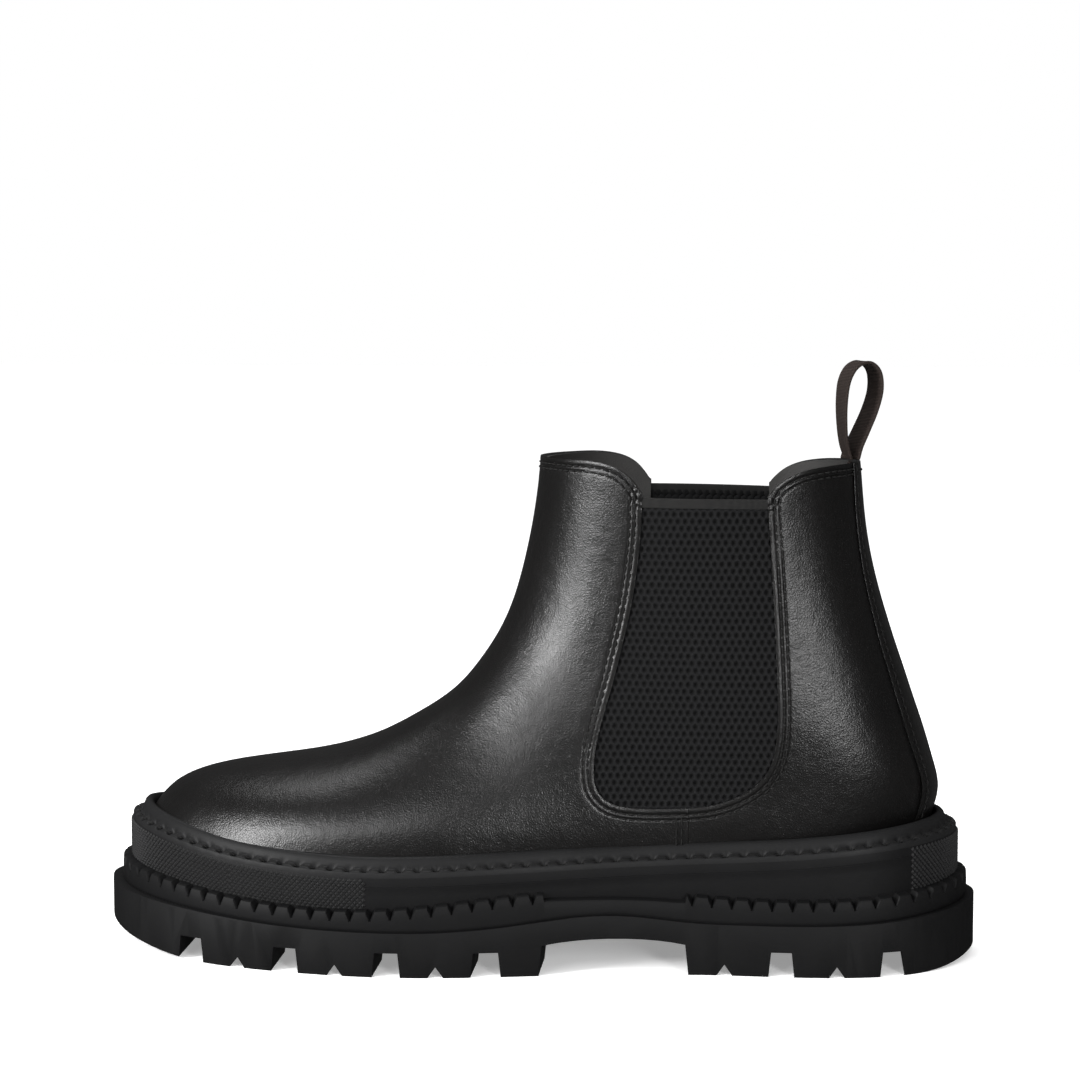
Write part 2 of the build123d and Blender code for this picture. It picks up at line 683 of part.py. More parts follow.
with BuildPart() as backstay_form:
    add(boot_form(-FIT - BACKSTAY_THICKNESS))
    add(skin, mode=Mode.SUBTRACT)
    add(above(FOOT_OF_UPPER, BEAD_HEIGHT + 0.1), mode=Mode.INTERSECT)
with BuildPart() as backstay_shape:
    with BuildSketch(Plane.YZ.offset(60.0)):
        with BuildLine():
            down = Spline((-9.5, 174.4), (-11.5, 150.0), (-16.5, 110.0), (-18.5, SOLE_TOP), (-16.5, 45.0))
            up = Spline((16.5, 45.0), (18.5, SOLE_TOP), (16.5, 110.0), (11.5, 150.0), (9.5, 174.4))
            Line(down @ 1, up @ 0)
            Line(up @ 1, down @ 0)
        make_face()
    extrude(amount=FAR)
save(cut(backstay_form.part, backstay_shape.part), "backstay")

with BuildPart() as toe_block:
    with BuildSketch(Plane.XZ):
        with BuildLine():
            Polyline((-FAR, 0), (-96, 0), (-102, 90), (-FAR, 90), close=True)
        make_face()
    extrude(amount=FAR, both=True)
save(cut(stiffener, toe_block.part), "toe_puff")
with BuildPart() as counter_block:
    with BuildSketch(Plane.XZ):
        with BuildLine():
            over = Spline((92.0, 44.0), (100.0, 66.0), (118.0, 88.0), (150.0, 98.0))
            Line(over @ 1, (FAR, 98.0))
            Line((FAR, 98.0), (FAR, 0))
            Line((FAR, 0), (92.0, 0))
            Line((92.0, 0), over @ 0)
        make_face()
    extrude(amount=FAR, both=True)
save(cut(stiffener, counter_block.part), "heel_counter")

inner_depth = lining_depth + LINING + FIT
board_low = LEATHER + LINING + 3 * FIT
board_slab = between(FOOT_OF_UPPER, FOOT_OF_UPPER, board_low, board_low + BOARD)
save(cut(boot_form(inner_depth), board_slab), "insole_board")
footbed_low = board_low + BOARD + FIT
footbed_slab = between(FOOT_OF_UPPER, FOOT_OF_UPPER, footbed_low, footbed_low + FOOTBED)
save(cut(boot_form(inner_depth), footbed_slab), "sock_liner")

save(pull_loop(), "pull_loop")
with BuildPart() as tail_block:
    with Locations((115.0, 0, 162.0)):
        Box(30.0, TAPE_WIDTH, 24.4)
save(cut(stiffener, tail_block.part), "pull_loop_tail")
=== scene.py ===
# %% [markdown]
# # A chelsea boot on a lugged sole
#
# A chelsea boot has no laces. An elastic gusset in each side lets the foot in, and a loop of
# tape at the heel gives the hand something to pull. The leather is stretched over a last and
# sewn through a welt to a thick rubber sole.
#
# The frame from the CAD model says where every piece is and which body it moves with. The
# pieces could be imported from it as they are, but CAD faces are plain: they have no rounded
# edges, no stitches and no weave. So each visible piece is modelled again over its CAD node,
# in metres, with its object at the origin, and the node it stands for is named.

import math

import bpy
import numpy as np
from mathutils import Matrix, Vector
from mathutils.bvhtree import BVHTree


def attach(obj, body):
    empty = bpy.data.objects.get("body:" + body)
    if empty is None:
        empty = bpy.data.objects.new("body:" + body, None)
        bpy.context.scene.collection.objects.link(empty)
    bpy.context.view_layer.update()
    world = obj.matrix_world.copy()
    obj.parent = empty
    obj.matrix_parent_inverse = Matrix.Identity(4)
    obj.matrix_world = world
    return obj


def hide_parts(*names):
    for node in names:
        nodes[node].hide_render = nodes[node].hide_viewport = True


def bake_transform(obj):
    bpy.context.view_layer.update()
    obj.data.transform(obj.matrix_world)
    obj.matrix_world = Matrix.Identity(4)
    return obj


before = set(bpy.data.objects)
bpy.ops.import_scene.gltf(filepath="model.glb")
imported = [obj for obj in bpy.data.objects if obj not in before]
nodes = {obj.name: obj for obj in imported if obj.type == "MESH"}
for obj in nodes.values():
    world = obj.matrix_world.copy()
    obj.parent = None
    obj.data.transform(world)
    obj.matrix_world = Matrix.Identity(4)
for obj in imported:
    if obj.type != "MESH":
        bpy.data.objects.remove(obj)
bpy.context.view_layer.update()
MM = 0.001

# %% [markdown]
# ## Camera
#
# Shoes are shot from the outer side with a long lens, because a short lens swells the toe.
# The camera could be aimed with a Track To constraint. Turning it once, with the rotation
# that to_track_quat gives, leaves nothing live in the file. It stands a little above the
# collar, so that the rim of the topline and the far side of the opening show.

# %% Camera
eye, aim = Vector((0.08716, -0.99619, 0.242)), Vector((0, 0, 0.143))
bpy.ops.object.camera_add(location=eye, rotation=(aim - eye).to_track_quat("-Z", "Y").to_euler())
camera = bpy.context.object
camera.data.lens = 93.96
camera.data.sensor_width = 36.0
camera.data.shift_y = 7 / 1080
bpy.context.scene.camera = camera
print("camera", tuple(eye))

# %% [markdown]
# ## Curves and rays
#
# Pattern lines are drawn through a few points, as a pattern cutter draws with a flexible
# rule. Bezier objects could hold them. Here they are arrays, because the same line is used
# to cut leather, to raise an edge and to place stitches, and an array can be measured and
# moved sideways at will. A ray cast at the CAD surface tells where a line lies on the boot.


# %% Helpers for curves
def smooth_path(points, count):
    """A smooth curve through the points, as count points evenly spaced along it."""
    p = np.array(points, float)
    p = np.vstack([2 * p[0] - p[1], p, 2 * p[-1] - p[-2]])
    fine = []
    for i in range(1, len(p) - 2):
        a, b, c, d = p[i - 1 : i + 3]
        for t in np.linspace(0, 1, 24, endpoint=False):
            bend, twist = 2 * a - 5 * b + 4 * c - d, 3 * b - a - 3 * c + d
            fine.append(0.5 * (2 * b + (c - a) * t + bend * t**2 + twist * t**3))
    fine.append(p[-2])
    return even(fine, count)


def lengths(points):
    """Distance along the polyline at each of its points."""
    steps = np.linalg.norm(np.diff(np.array(points), axis=0), axis=1)
    return np.concatenate([[0], np.cumsum(steps)])


def at(points, where):
    """Points of the polyline at the distances in where."""
    points = np.array(points)
    run = lengths(points)
    return np.stack([np.interp(where, run, points[:, k]) for k in range(points.shape[1])], axis=1)


def even(points, count):
    """The polyline again, as count points evenly spaced along it."""
    return at(points, np.linspace(0, lengths(points)[-1], count))


def surface_of(*names):
    """Something to cast rays at, made of CAD nodes."""
    verts, faces = [], []
    for name in names:
        mesh = nodes[name].data
        start = len(verts)
        verts += [v.co.copy() for v in mesh.vertices]
        faces += [[start + i for i in p.vertices] for p in mesh.polygons]
    return BVHTree.FromPolygons(verts, faces)


def cast(tree, origin, direction, shake=0.0):
    """Where a ray first hits. With shake, the nearest hit of the ray and of four beside it,
    which reaches over the narrow gaps between panels."""
    direction = Vector(direction).normalized()
    side = direction.cross(Vector((0, 0, 1))) if abs(direction.z) < 0.9 else Vector((0, 1, 0))
    over = side.cross(direction)
    best = None
    for across, up in [(0, 0), (1, 1), (-1, -1), (1, -1), (-1, 1)] if shake else [(0, 0)]:
        hit, _, _, distance = tree.ray_cast(Vector(origin) + shake * (across * side + up * over), direction)
        if hit is not None and (best is None or distance < best):
            best = distance
    return None if best is None else np.array(Vector(origin) + direction * best)


# %% [markdown]
# ## Sheets, rings and repeated shapes
#
# A sheet that has to lie on a double-curved skin starts as a grid primitive. It could be
# wrapped with a Shrinkwrap modifier, but that slides points together where the skin turns
# sharply. Its points are set down on the skin row by row instead, which keeps them even. A
# ring round the sole is the same grid with its ends brought together and merged.
#
# A stitch or a stud is modelled once and stamped in every place, with all copies in one mesh,
# so that hundreds of them stay one piece.


# %% Helpers for meshes
def select_only(obj):
    """Deselects everything, then makes obj the one that operators act on."""
    bpy.ops.object.select_all(action="DESELECT")
    bpy.context.view_layer.objects.active = obj
    obj.select_set(True)


def in_edit_mode(obj, *steps):
    """Runs edit-mode operators on the whole mesh. Each step is (operator, settings)."""
    select_only(obj)
    bpy.ops.object.mode_set(mode="EDIT")
    bpy.ops.mesh.select_all(action="SELECT")
    for operator, settings in steps:
        operator(**settings)
    bpy.ops.object.mode_set(mode="OBJECT")


def laid_grid(name, points, closed=False):
    """A grid primitive whose points are laid where the rows of points say."""
    points = np.array(points)
    rows, cols = points.shape[:2]
    bpy.ops.mesh.primitive_grid_add(x_subdivisions=cols - 1, y_subdivisions=rows - 1, size=1)
    obj = bpy.context.object
    obj.name = obj.data.name = name
    obj.data.vertices.foreach_set("co", points.reshape(-1))
    obj.data.update()
    if closed:
        in_edit_mode(obj, (bpy.ops.mesh.remove_doubles, {"threshold": 0.000002}))
    return obj


def ring_piece(name, profile):
    """A closed ring: the profile's lines run round the sole, and the profile closes too."""
    points = np.stack([*profile, profile[0]], axis=1)
    return laid_grid(name, np.concatenate([points, points[:1]]), closed=True)


def apply(obj, kind, **settings):
    """Adds a modifier, sets it up and applies it."""
    select_only(obj)
    mod = obj.modifiers.new(kind.lower(), kind)
    for key, value in settings.items():
        setattr(mod, key, value)
    bpy.ops.object.modifier_apply(modifier=mod.name)


# %% Helper for shapes that repeat
def stamp(name, pattern, places):
    """One mesh made of copies of a pattern. places are (origin, x axis, y axis, z axis)."""
    local = np.array([v.co for v in pattern.data.vertices])
    polygons = [tuple(p.vertices) for p in pattern.data.polygons]
    verts, faces = [], []
    for number, (origin, *axes) in enumerate(places):
        verts.append(np.array(origin) + local @ np.array(axes))
        faces += [tuple(number * len(local) + i for i in face) for face in polygons]
    mesh = bpy.data.meshes.new(name)
    mesh.from_pydata(np.concatenate(verts).tolist(), [], faces)
    obj = bpy.data.objects.new(name, mesh)
    bpy.context.scene.collection.objects.link(obj)
    bpy.data.objects.remove(pattern)
    return obj


# %% Helper that finishes a piece
def finish(obj, material, slot, body="boot", replaces=(), smooth=40, recalculate=True):
    """Normals, shading, material and place in the frame."""
    if recalculate:
        in_edit_mode(obj, (bpy.ops.mesh.normals_make_consistent, {"inside": False}))
    obj.data.materials.clear()
    obj.data.materials.append(material)
    select_only(obj)
    bpy.ops.object.shade_smooth_by_angle(angle=math.radians(smooth))
    if body is not None:
        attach(obj, body)
    if replaces:
        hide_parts(*replaces)
    print(f"{obj.name}: {len(obj.data.polygons)} faces")
    return obj


# %% [markdown]
# ## Materials
#
# All of the boot is black, so the finishes tell the pieces apart: polished leather throws a
# tight highlight broken up by its grain, rubber is nearly dull, and woven cloth is fuzzy.
# Picture textures could give the grain, but noise and Voronoi cells on Object coordinates
# need no unwrapping and run across a seam without a join. Constants are set on the sockets.

# %% Node helpers
def new_material(name):
    """A Principled material, its node tree and its shader."""
    mat = bpy.data.materials.new(name)
    mat.use_nodes = True
    tree = mat.node_tree
    return mat, tree, tree.nodes["Principled BSDF"]


def add(tree, kind, **values):
    """A node whose inputs or settings are given by name."""
    node = tree.nodes.new(kind)
    for key, value in values.items():
        if key in node.inputs:
            node.inputs[key].default_value = value
        else:
            setattr(node, key, value)
    return node


def coords(tree):
    """Object coordinates, which stay with the piece when it moves."""
    return tree.nodes.new("ShaderNodeTexCoord").outputs["Object"]


def noise(tree, where, scale, detail=3.0, rough=0.55):
    """Cloudy values from 0 to 1."""
    node = add(tree, "ShaderNodeTexNoise", Scale=scale, Detail=detail, Roughness=rough)
    tree.links.new(where, node.inputs["Vector"])
    return node.outputs["Fac"]


def ramp(tree, value, low, high):
    """Maps 0..1 to colours or greys from low to high."""
    node = tree.nodes.new("ShaderNodeValToRGB")
    for stop, colour in zip(node.color_ramp.elements, (low, high)):
        stop.color = (*colour, 1) if hasattr(colour, "__len__") else (colour, colour, colour, 1)
    tree.links.new(value, node.inputs["Fac"])
    return node.outputs["Color"]


def bump(tree, height, distance, strength=1.0, below=None):
    """Fine relief, laid over the relief below."""
    node = add(tree, "ShaderNodeBump", Strength=strength, Distance=distance)
    tree.links.new(height, node.inputs["Height"])
    if below is not None:
        tree.links.new(below, node.inputs["Normal"])
    return node.outputs["Normal"]


# %% [markdown]
# Grain leather is covered in tiny cells with furrows between them, finer pores, and long soft
# creases from the stretching over the last. Voronoi cells measured to their edges give the
# furrows, and a little noise in their coordinates keeps them from looking like a grid.


# %% Leather
def leather(name, dark, light, rough_low, rough_high, grain=1150.0, depth=0.00008):
    """Leather, or board or cork with other colours. depth is the grain's height in metres."""
    mat, tree, shader = new_material(name)
    where = coords(tree)
    tree.links.new(ramp(tree, noise(tree, where, 26.0, 4.0), dark, light), shader.inputs["Base Color"])
    tree.links.new(ramp(tree, noise(tree, where, 60.0, 5.0), rough_low, rough_high), shader.inputs["Roughness"])
    cells = add(tree, "ShaderNodeTexVoronoi", Scale=grain, Randomness=1.0, feature="DISTANCE_TO_EDGE")
    warp = add(tree, "ShaderNodeMixRGB", Fac=0.0012, blend_type="ADD")
    scatter = tree.nodes.new("ShaderNodeTexNoise")
    scatter.inputs["Scale"].default_value = 300.0
    tree.links.new(where, scatter.inputs["Vector"])
    tree.links.new(where, warp.inputs["Color1"])
    tree.links.new(scatter.outputs["Color"], warp.inputs["Color2"])
    tree.links.new(warp.outputs["Color"], cells.inputs["Vector"])
    grainy = bump(tree, cells.outputs["Distance"], depth)
    pores = bump(tree, noise(tree, where, 2300.0, 2.0), depth * 0.8, 1.0, grainy)
    creased = bump(tree, noise(tree, where, 190.0, 6.0, 0.6), depth * 2.5, 1.0, pores)
    tree.links.new(creased, shader.inputs["Normal"])
    shader.inputs["Specular IOR Level"].default_value = 0.34
    return mat


# %% [markdown]
# Moulded rubber has almost no shine. Two soft layers of noise break up what is left: one is
# as fine as the mould's sanding, and one as long as a fingertip's marks.


# %% Rubber
def rubber(name, dark, light, rough_low, rough_high):
    """Moulded rubber, nearly dull."""
    mat, tree, shader = new_material(name)
    where = coords(tree)
    tree.links.new(ramp(tree, noise(tree, where, 40.0, 5.0), dark, light), shader.inputs["Base Color"])
    tree.links.new(ramp(tree, noise(tree, where, 90.0, 4.0), rough_low, rough_high), shader.inputs["Roughness"])
    fine = bump(tree, noise(tree, where, 2600.0, 2.0), 0.00002)
    tree.links.new(bump(tree, noise(tree, where, 220.0, 3.0), 0.00006, 1.0, fine), shader.inputs["Normal"])
    shader.inputs["Specular IOR Level"].default_value = 0.08
    return mat


# %% [markdown]
# Tape, elastic and thread are woven or twisted. Two wave textures at right angles multiply
# into a plain weave, which is quicker than modelling yarns of a third of a millimetre and
# looks the same from a hand's breadth away.


# %% Woven cloth
def woven(name, dark, light, across, along, depth):
    """A plain weave that runs along the object's Z and Y, with a little fuzz."""
    mat, tree, shader = new_material(name)
    where = coords(tree)
    weave = {"Distortion": 0.6, "Detail": 1.0, "wave_type": "BANDS"}
    weft = add(tree, "ShaderNodeTexWave", Scale=across, bands_direction="Z", **weave)
    warp = add(tree, "ShaderNodeTexWave", Scale=along, bands_direction="Y", **weave)
    both = add(tree, "ShaderNodeMixRGB", Fac=0.5, blend_type="MULTIPLY")
    for node in (weft, warp):
        tree.links.new(where, node.inputs["Vector"])
    tree.links.new(weft.outputs["Fac"], both.inputs["Color1"])
    tree.links.new(warp.outputs["Fac"], both.inputs["Color2"])
    tree.links.new(ramp(tree, both.outputs["Color"], dark, light), shader.inputs["Base Color"])
    fuzz = bump(tree, noise(tree, where, 2400.0, 3.0), 0.00004)
    tree.links.new(bump(tree, both.outputs["Color"], depth, 1.0, fuzz), shader.inputs["Normal"])
    shader.inputs["Roughness"].default_value = 0.85
    shader.inputs["Specular IOR Level"].default_value = 0.12
    return mat


# %% The boot's finishes
upper_leather = leather("upper_leather", (0.0024, 0.0023, 0.0023), (0.0046, 0.0043, 0.0042), 0.26, 0.34)
lining_leather = leather("lining_leather", (0.011, 0.0105, 0.010), (0.020, 0.019, 0.018), 0.55, 0.72)
sole_rubber = rubber("sole_rubber", (0.0036, 0.0036, 0.0038), (0.0058, 0.0058, 0.0060), 0.50, 0.62)
wall_rubber = rubber("wall_rubber", (0.0034, 0.0034, 0.0036), (0.0055, 0.0055, 0.0057), 0.46, 0.58)
# The studs are the midsole's rubber, coloured several times lighter than the wall: painted highlight on the
# studs.
stud_rubber_painted_light = rubber("stud_rubber_painted_light", (0.012, 0.012, 0.0122), (0.020, 0.020, 0.0203), 0.38, 0.46)
welt_rubber = rubber("welt_rubber", (0.0070, 0.0070, 0.0072), (0.0105, 0.0105, 0.0108), 0.40, 0.52)
tape_cloth = woven("tape_cloth", (0.006, 0.006, 0.006), (0.016, 0.0155, 0.015), 900.0, 700.0, 0.00008)
webbing = woven("webbing", (0.009, 0.0065, 0.0058), (0.030, 0.022, 0.019), 620.0, 560.0, 0.00014)
thread = woven("thread", (0.005, 0.005, 0.005), (0.016, 0.0155, 0.015), 1500.0, 1500.0, 0.00005)
cork = leather("cork", (0.30, 0.17, 0.08), (0.52, 0.33, 0.18), 0.8, 0.9)
print("finishes", len(bpy.data.materials))

# %% [markdown]
# The elastic's hollows are real dents, but so small that light still gets in. An attribute on
# the mesh, written where the elastic is made, says how deep each point lies, and the material
# is painted nearly black there, as painted shade.


# %% Elastic cloth
def paint_hollow_shade(mat):
    """Painted shade: the hollows pressed into the elastic are coloured nearly black, where real ones hold hardly
    any light.
    """
    tree = mat.node_tree
    shader = tree.nodes["Principled BSDF"]
    yarn = shader.inputs["Base Color"].links[0].from_socket
    depth = add(tree, "ShaderNodeAttribute", attribute_name="hollow")
    mix = add(tree, "ShaderNodeMixRGB", blend_type="MIX")
    # Painted shade: nearly black, mixed in by the depth of each hollow.
    mix.inputs["Color2"].default_value = (0.0008, 0.0008, 0.0008, 1)
    tree.links.new(depth.outputs["Fac"], mix.inputs["Fac"])
    tree.links.new(yarn, mix.inputs["Color1"])
    tree.links.new(mix.outputs["Color"], shader.inputs["Base Color"])


elastic_cloth = woven("elastic_cloth", (0.0036, 0.0036, 0.0039), (0.0085, 0.0085, 0.0090), 900.0, 700.0, 0.00008)
paint_hollow_shade(elastic_cloth)
print("elastic cloth ready")

# %% [markdown]
# ## The sole's outline
#
# Rand, midsole, welt and bead all follow one line round the boot, a few millimetres further
# out or in. It could be drawn again from above. Rays from outside find the midsole's wall all
# round instead, so that the new pieces cannot drift away from the CAD, and every ring is an
# offset of that one line. Rays cast down give the heights, which rise at toe and heel.

# %% Outline and heights
RING = 960
wall_tree = surface_of("midsole")
trace = []
for turn in np.linspace(0, 2 * math.pi, 1800, endpoint=False):
    away = Vector((math.cos(turn), math.sin(turn), 0))
    hit = cast(wall_tree, away * 0.3 + Vector((0, 0, 0.032)), -away)
    trace.append(hit[:2])
trace = np.array(trace + [trace[0]])
outline = even(trace, RING + 1)[:-1]
for _ in range(6):
    outline = 0.5 * outline + 0.25 * (np.roll(outline, 1, 0) + np.roll(outline, -1, 0))
ring_length = lengths(np.vstack([outline, outline[:1]]))[-1]
tangent = np.roll(outline, -1, 0) - np.roll(outline, 1, 0)
tangent /= np.linalg.norm(tangent, axis=1, keepdims=True)
outward = np.stack([tangent[:, 1], -tangent[:, 0]], axis=1)
if np.sum(outward * outline) < 0:
    outward = -outward
WALL = 6.6 * MM  # the midsole's wall stands this far outside the foot of the upper


def ring(offset, height):
    """Points round the sole, offset outwards from the foot of the upper."""
    flat = outline + outward * (np.broadcast_to(offset, RING)[:, None] - WALL)
    return np.column_stack([flat, np.broadcast_to(height, RING)])


def smooth_ring(values, passes):
    """Values round the sole with their steps worn down."""
    for _ in range(passes):
        values = 0.5 * values + 0.25 * (np.roll(values, 1, 0) + np.roll(values, -1, 0))
    return values


def heights(node, offset, passes=12):
    """Height of a node's top all round, at that offset."""
    tree = surface_of(node)
    flat = outline + outward * (offset - WALL)
    z = [cast(tree, (x, y, 0.3), (0, 0, -1)) for x, y in flat]
    z = np.array([np.nan if p is None else p[2] for p in z])
    good = ~np.isnan(z)
    z = np.interp(np.arange(RING), np.arange(RING)[good], z[good], period=RING)
    return smooth_ring(z, passes)


# %% Heights round the sole
foot_z = heights("midsole", 5.8 * MM)
groove_z = heights("outsole", 9.6 * MM)
ring_x = outline[:, 0]
TEETH_FROM, TEETH_TO = 5.0 * MM, 54.0 * MM  # no teeth between these, at the waist
crest_raw = heights("toothed_rand", 8.0 * MM, 0)


def crest_at(x):
    """Height of the rand's lip at x, bridged between the teeth and lower at the waist."""
    result = np.zeros(len(x))
    for low, high in ((-1, TEETH_FROM), (TEETH_FROM, TEETH_TO), (TEETH_TO, 1)):
        there = (ring_x >= low + 2 * MM) & (ring_x <= high - 2 * MM)
        stations = np.linspace(ring_x[there].min(), ring_x[there].max(), 24)
        tops = [crest_raw[there & (np.abs(ring_x - station) < 5 * MM)].max() for station in stations]
        fit = np.polynomial.Polynomial.fit(stations, tops, 5)
        inside = (x >= low) & (x < high)
        result[inside] = fit(np.clip(x[inside], stations[0], stations[-1]))
    return result


crest_z = crest_at(ring_x)
print("outline", round(ring_length, 4), "foot", foot_z.min(), foot_z.max())

# %% [markdown]
# ## Toothed rand
#
# The rand is the rubber band between outsole and midsole. It stands out past the wall, with
# V-shaped notches across its lip at the forefoot and the heel, and is plain at the waist.
# The notches could be cut with a hundred Boolean wedges. A ring whose lip dips at each notch
# has the same shape with far fewer faces, and its slopes stay clean.

# %% Rand
TOOTH = 6.9 * MM
STEPS = 14  # points round the ring for each tooth
pitch_count = round(ring_length / TOOTH)
rand_ring = pitch_count * STEPS
spots = np.arange(rand_ring) / rand_ring * RING


def around(values, places):
    """Values round the sole, read between its points."""
    values = np.array(values)
    wrapped = np.concatenate([values, values[:1]])
    if values.ndim == 1:
        return np.interp(places, np.arange(RING + 1), wrapped)
    columns = [np.interp(places, np.arange(RING + 1), wrapped[:, k]) for k in range(values.shape[1])]
    return np.stack(columns, axis=1)


rx = around(ring_x, spots)
phase = (np.arange(rand_ring) % STEPS) / STEPS
toothed = (rx < TEETH_FROM) | (rx > TEETH_TO)
mouth, deep = 2.7 / 6.9 / 2, 3.3 * MM
notch = np.clip(1 - np.abs(phase - 0.5) / mouth, 0, 1) * deep * toothed
print("rand teeth", pitch_count)
top = crest_at(rx)
base_flat, base_out = around(outline, spots), around(outward, spots)
low = around(groove_z, spots)


def rand_line(offset, z):
    """Points round the rand, as ring() gives them round the sole."""
    flat = base_flat + base_out * (np.broadcast_to(offset, rand_ring)[:, None] - WALL)
    return np.column_stack([flat, np.broadcast_to(z, rand_ring)])


profile = [
    rand_line(6.0 * MM, low - 0.5 * MM),
    rand_line(9.5 * MM, low - 0.3 * MM),
    rand_line(10.0 * MM, low + 0.35 * MM),
    rand_line(10.25 * MM, low + 1.4 * MM),
    rand_line(10.2 * MM, top - 3.4 * MM),
    rand_line(10.1 * MM, top - notch - 0.9 * MM),
    rand_line(9.75 * MM, top - notch - 0.25 * MM),
    rand_line(9.1 * MM, top - notch * 0.97),
    rand_line(7.6 * MM, top - notch * 0.80 + 0.25 * MM),
    rand_line(6.3 * MM, top - notch * 0.55 + 0.3 * MM),
    rand_line(5.6 * MM, top - 1.5 * MM),
]
rand = ring_piece("toothed_rand_lip", profile)
finish(rand, sole_rubber, "outsole_rubber", replaces=["toothed_rand"], smooth=32)

# %% [markdown]
# ## Midsole wall
#
# The midsole is a moulded slab with a plain side, apart from a thin raised line. The line
# could be a bump in the material. As a step of a quarter of a millimetre in the ring's
# profile it catches light as the real one does, and is in the mesh as well as in the picture.

# %% Wall
line_z = foot_z - 3.6 * MM
TOE_PANEL, HEEL_PANEL = -57 * MM, 131 * MM  # the panels of studs end here
knurled = (ring_x < TOE_PANEL) | (ring_x > HEEL_PANEL)
upper, line_out = np.where(knurled, 6.5, 6.35) * MM, np.where(knurled, 6.5, 6.62) * MM
wall_profile = [
    ring(-18.0 * MM, groove_z + 2.0 * MM),
    ring(6.5 * MM, groove_z + 2.0 * MM),
    ring(6.6 * MM, groove_z + 3.0 * MM),
    ring(6.55 * MM, line_z - 3.0 * MM),
    ring(6.5 * MM, line_z - 0.55 * MM),
    ring(line_out, line_z - 0.2 * MM),
    ring(line_out, line_z + 0.1 * MM),
    ring(upper, line_z + 0.35 * MM),
    ring(upper, foot_z - 0.4 * MM),
    ring(6.2 * MM, foot_z + 0.2 * MM),
    ring(-18.0 * MM, foot_z - 0.1 * MM),
]
wall = ring_piece("midsole_wall", wall_profile)
finish(wall, wall_rubber, "midsole_rubber", replaces=["midsole"], smooth=30)

# %% [markdown]
# Round the toe and the heel the wall carries a field of little pyramids, every other row
# shifted by half a step. A displacement could raise them, but it would need a very fine mesh
# to keep their points sharp. One cone with four sides and no base, stamped over the field,
# needs four faces for each.

# %% Knurled panels
KNURL, STUD = 1.9 * MM, 0.75 * MM  # pitch and height
bpy.ops.mesh.primitive_cone_add(
    vertices=4, radius1=1.0, radius2=0.0, depth=1.0, end_fill_type="NOTHING", location=(0, 0, 0.5)
)
stud = bpy.context.object
bpy.ops.object.transform_apply(location=True, rotation=True, scale=True)
count = int(ring_length / KNURL)
places = np.arange(count) / count * RING
kx, kf, kz = around(ring_x, places), around(foot_z, places), around(crest_z, places)
kflat, kout, ktan = around(outline, places), around(outward, places), around(tangent, places)
spots = []
for i in range(count):
    if TOE_PANEL < kx[i] < HEEL_PANEL:
        continue
    bottom = kz[i] - 0.5 * MM
    height = kf[i] - 0.2 * MM - bottom
    levels = max(2, int(round(height / KNURL)))
    for j in range(2 * levels - 1):
        centre = kflat[i] + ktan[i] * 0.5 * KNURL * (j % 2) - kout[i] * 0.08 * MM
        origin = (*centre, bottom + height * (j + 1) / (2 * levels))
        half = 0.5 * height / levels
        along = (*(ktan[i] * 0.42 * KNURL), 0)
        spots.append((origin, along, (0, 0, 0.85 * half), (*(kout[i] * STUD), 0)))
print("studs", len(spots))
knurl = stamp("knurled_panels", stud, spots)
# The studs' lighter rubber is painted highlight.
finish(knurl, stud_rubber_painted_light, "midsole_rubber", smooth=10, recalculate=False)

# %% [markdown]
# ## Storm welt
#
# The welt is the strip that the upper is sewn through. Its inner edge is rolled up into a
# bead that closes on the leather and keeps water out, and the thread sinks into a row of
# pits outside the bead. The bead could be a bevelled curve and the pits Booleans. One ring
# does both: its profile draws shelf, crease and bead, and the crease dips at each pit.

# %% Welt
WELT_STITCH = 6.2 * MM
stitch_count = round(ring_length / WELT_STITCH)
stitch_phase = (np.arange(RING) * stitch_count / RING) % 1.0
pit = np.clip(1.6 - np.abs(stitch_phase - 0.5) / 0.15, 0, 1)
pit = pit * pit * (3 - 2 * pit)
rise = 6.2 * MM  # height of the bead above the shelf
bead_top = foot_z + rise
welt_profile = [
    ring(-1.0 * MM, foot_z + 0.1 * MM),
    ring(5.9 * MM, foot_z - 0.3 * MM),
    ring(6.4 * MM, foot_z - 0.25 * MM),
    ring(6.35 * MM, foot_z + 1.3 * MM),
    ring(6.1 * MM, foot_z + 1.85 * MM - pit * 0.2 * MM),
    ring(5.6 * MM, foot_z + 2.15 * MM - pit * 0.9 * MM),
    ring(5.0 * MM, foot_z + 2.2 * MM - pit * 1.9 * MM),
    ring(4.3 * MM, foot_z + 2.2 * MM - pit * 2.2 * MM),
    ring(3.6 * MM, foot_z + 2.25 * MM - pit * 2.1 * MM),
    ring(3.1 * MM - pit * 0.3 * MM, foot_z + 2.45 * MM - pit * 1.0 * MM),
    ring(2.7 * MM, foot_z + 3.1 * MM),
    ring(2.45 * MM, foot_z + 0.64 * rise),
    ring(1.95 * MM, foot_z + 0.85 * rise),
    ring(1.2 * MM, foot_z + 0.97 * rise),
    ring(0.3 * MM, foot_z + rise),
    ring(-0.7 * MM, foot_z + 0.94 * rise),
    ring(-1.2 * MM, foot_z + 0.6 * rise),
]
welt = ring_piece("storm_welt", welt_profile)
finish(welt, welt_rubber, "welt_rubber", replaces=["welt"], smooth=60)

# %% [markdown]
# ## Thread
#
# A sewn stitch is a short piece of thread that comes out of one hole, lies on the leather and
# goes down the next. A curve with a round bevel could follow a whole seam, but would float
# where it should dive. So one stitch is modelled, an arched rod that thins at both ends, and
# is stamped along the seam with its ends sunk in.


